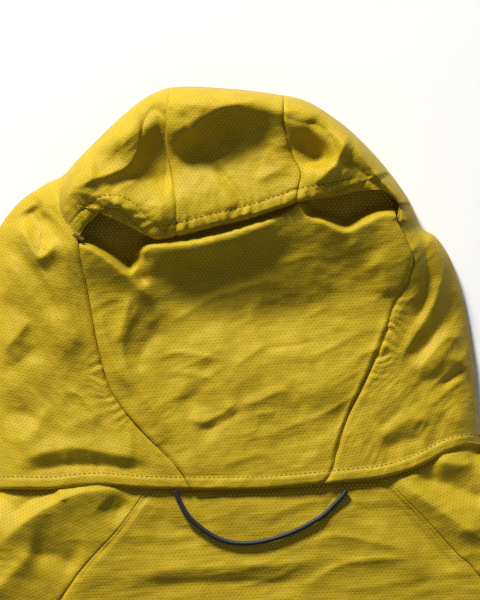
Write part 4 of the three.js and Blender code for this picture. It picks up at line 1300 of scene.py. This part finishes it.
def cuff(side):
    name = HAND[side]
    inner, outer = CUFF_INNER, CUFF_OUTER
    rows = unit(12)[:, None]
    down_band = CUFF_ALONG * (BAND_GAP + (BAND - BAND_GAP) * rows)
    left, right = mirrored(inner + down_band, side), mirrored(outer + down_band, side)
    share = 1 - (1 - unit(50)) ** 1.3

    def band(x, y, height):
        """The sleeve's own height, level along the band."""
        down = (x * side - inner[0]) * CUFF_ALONG[0] + (y - inner[1]) * CUFF_ALONG[1]
        at_x = x - side * CUFF_ALONG[0] * (down + 1.5)
        at_y = y - CUFF_ALONG[1] * (down + 1.5)
        return height(at_x, at_y)

    plan = left[:, None] * (1 - share[None, :, None]) + right[:, None] * share[None, :, None]
    top = np.dstack([plan, band(plan[..., 0], plan[..., 1], body_height) + 0.2])
    low = np.dstack([plan, band(plan[..., 0], plan[..., 1], front_height)])
    made = cloth("cuff_band_" + name + "_cloth", wrapped(top, low), SHELL, 28 * side, flip=side > 0,
                 thickness=0.8)
    sewn(made, "cuff_band_" + name, "shell")


def rounded_slab(name, node, look, body, corner=2.5):
    """A soft, flat strap in the box of a CAD node, with rounded corners and edges."""
    cad = frame["nodes"][node]
    co = np.array([v.co[:] for v in cad.data.vertices]) / MM
    centre = (co.min(axis=0) + co.max(axis=0)) / 2
    across = np.array([*CUFF_ACROSS, 0]) * [1 if centre[0] > 0 else -1, 1, 1]
    side_way = np.array([-across[1], across[0], 0])
    middle = co.mean(axis=0)
    u, v = (co - middle) @ across, (co - middle) @ side_way
    half_u, half_v = (u.max() - u.min()) / 2, (v.max() - v.min()) / 2
    middle = middle + across * (u.max() + u.min()) / 2 + side_way * (v.max() + v.min()) / 2
    low, high = co[:, 2].min(), co[:, 2].max()
    turn = circle(60)
    px = np.clip(1e3 * np.cos(turn), -(half_u - corner), half_u - corner) + corner * np.cos(turn)
    py = np.clip(1e3 * np.sin(turn), -(half_v - corner), half_v - corner) + corner * np.sin(turn)
    rings = []
    for share, z in ((0.02, low), (0.6, low), (0.97, low), (1.0, (low + high) / 2), (0.97, high), (0.6, high),
                     (0.02, high)):
        flat = middle + np.outer(px * share, across) + np.outer(py * share, side_way)
        flat[:, 2] = z
        rings.append(flat)
    points = np.vstack(rings) - [0, NECK_Y / MM, 0]
    faces = ring_faces(7, 60) + [tuple(range(60))[::-1], tuple(range(360, 420))]
    made = finished(name, points, faces, look)
    weave_map(made, 20)
    smooth_sides(made)
    sewn(made, node, body)


casing()
for hand, name in HAND.items():
    cuff(hand)
    rounded_slab("cuff_patch_" + name + "_pile", "cuff_patch_" + name, LINING, "shell")
    rounded_slab("cuff_tab_" + name + "_strap", "cuff_tab_" + name, SHELL, "cuff_tab_" + name, 4)

HARD_BEVEL = 0.2

for node, made in frame["nodes"].items():
    hard_look = METAL if "slider" in node or "pull" in node or node == "main_zip_box" else None
    if node.startswith("cord_lock"):
        hard_look = PLASTIC
    if hard_look:
        made.data.materials.clear()
        made.data.materials.append(hard_look[0])
        bevel = made.modifiers.new("edges", "BEVEL")
        bevel.width = HARD_BEVEL * MM
        bevel.segments = 2
        bevel.limit_method = "ANGLE"
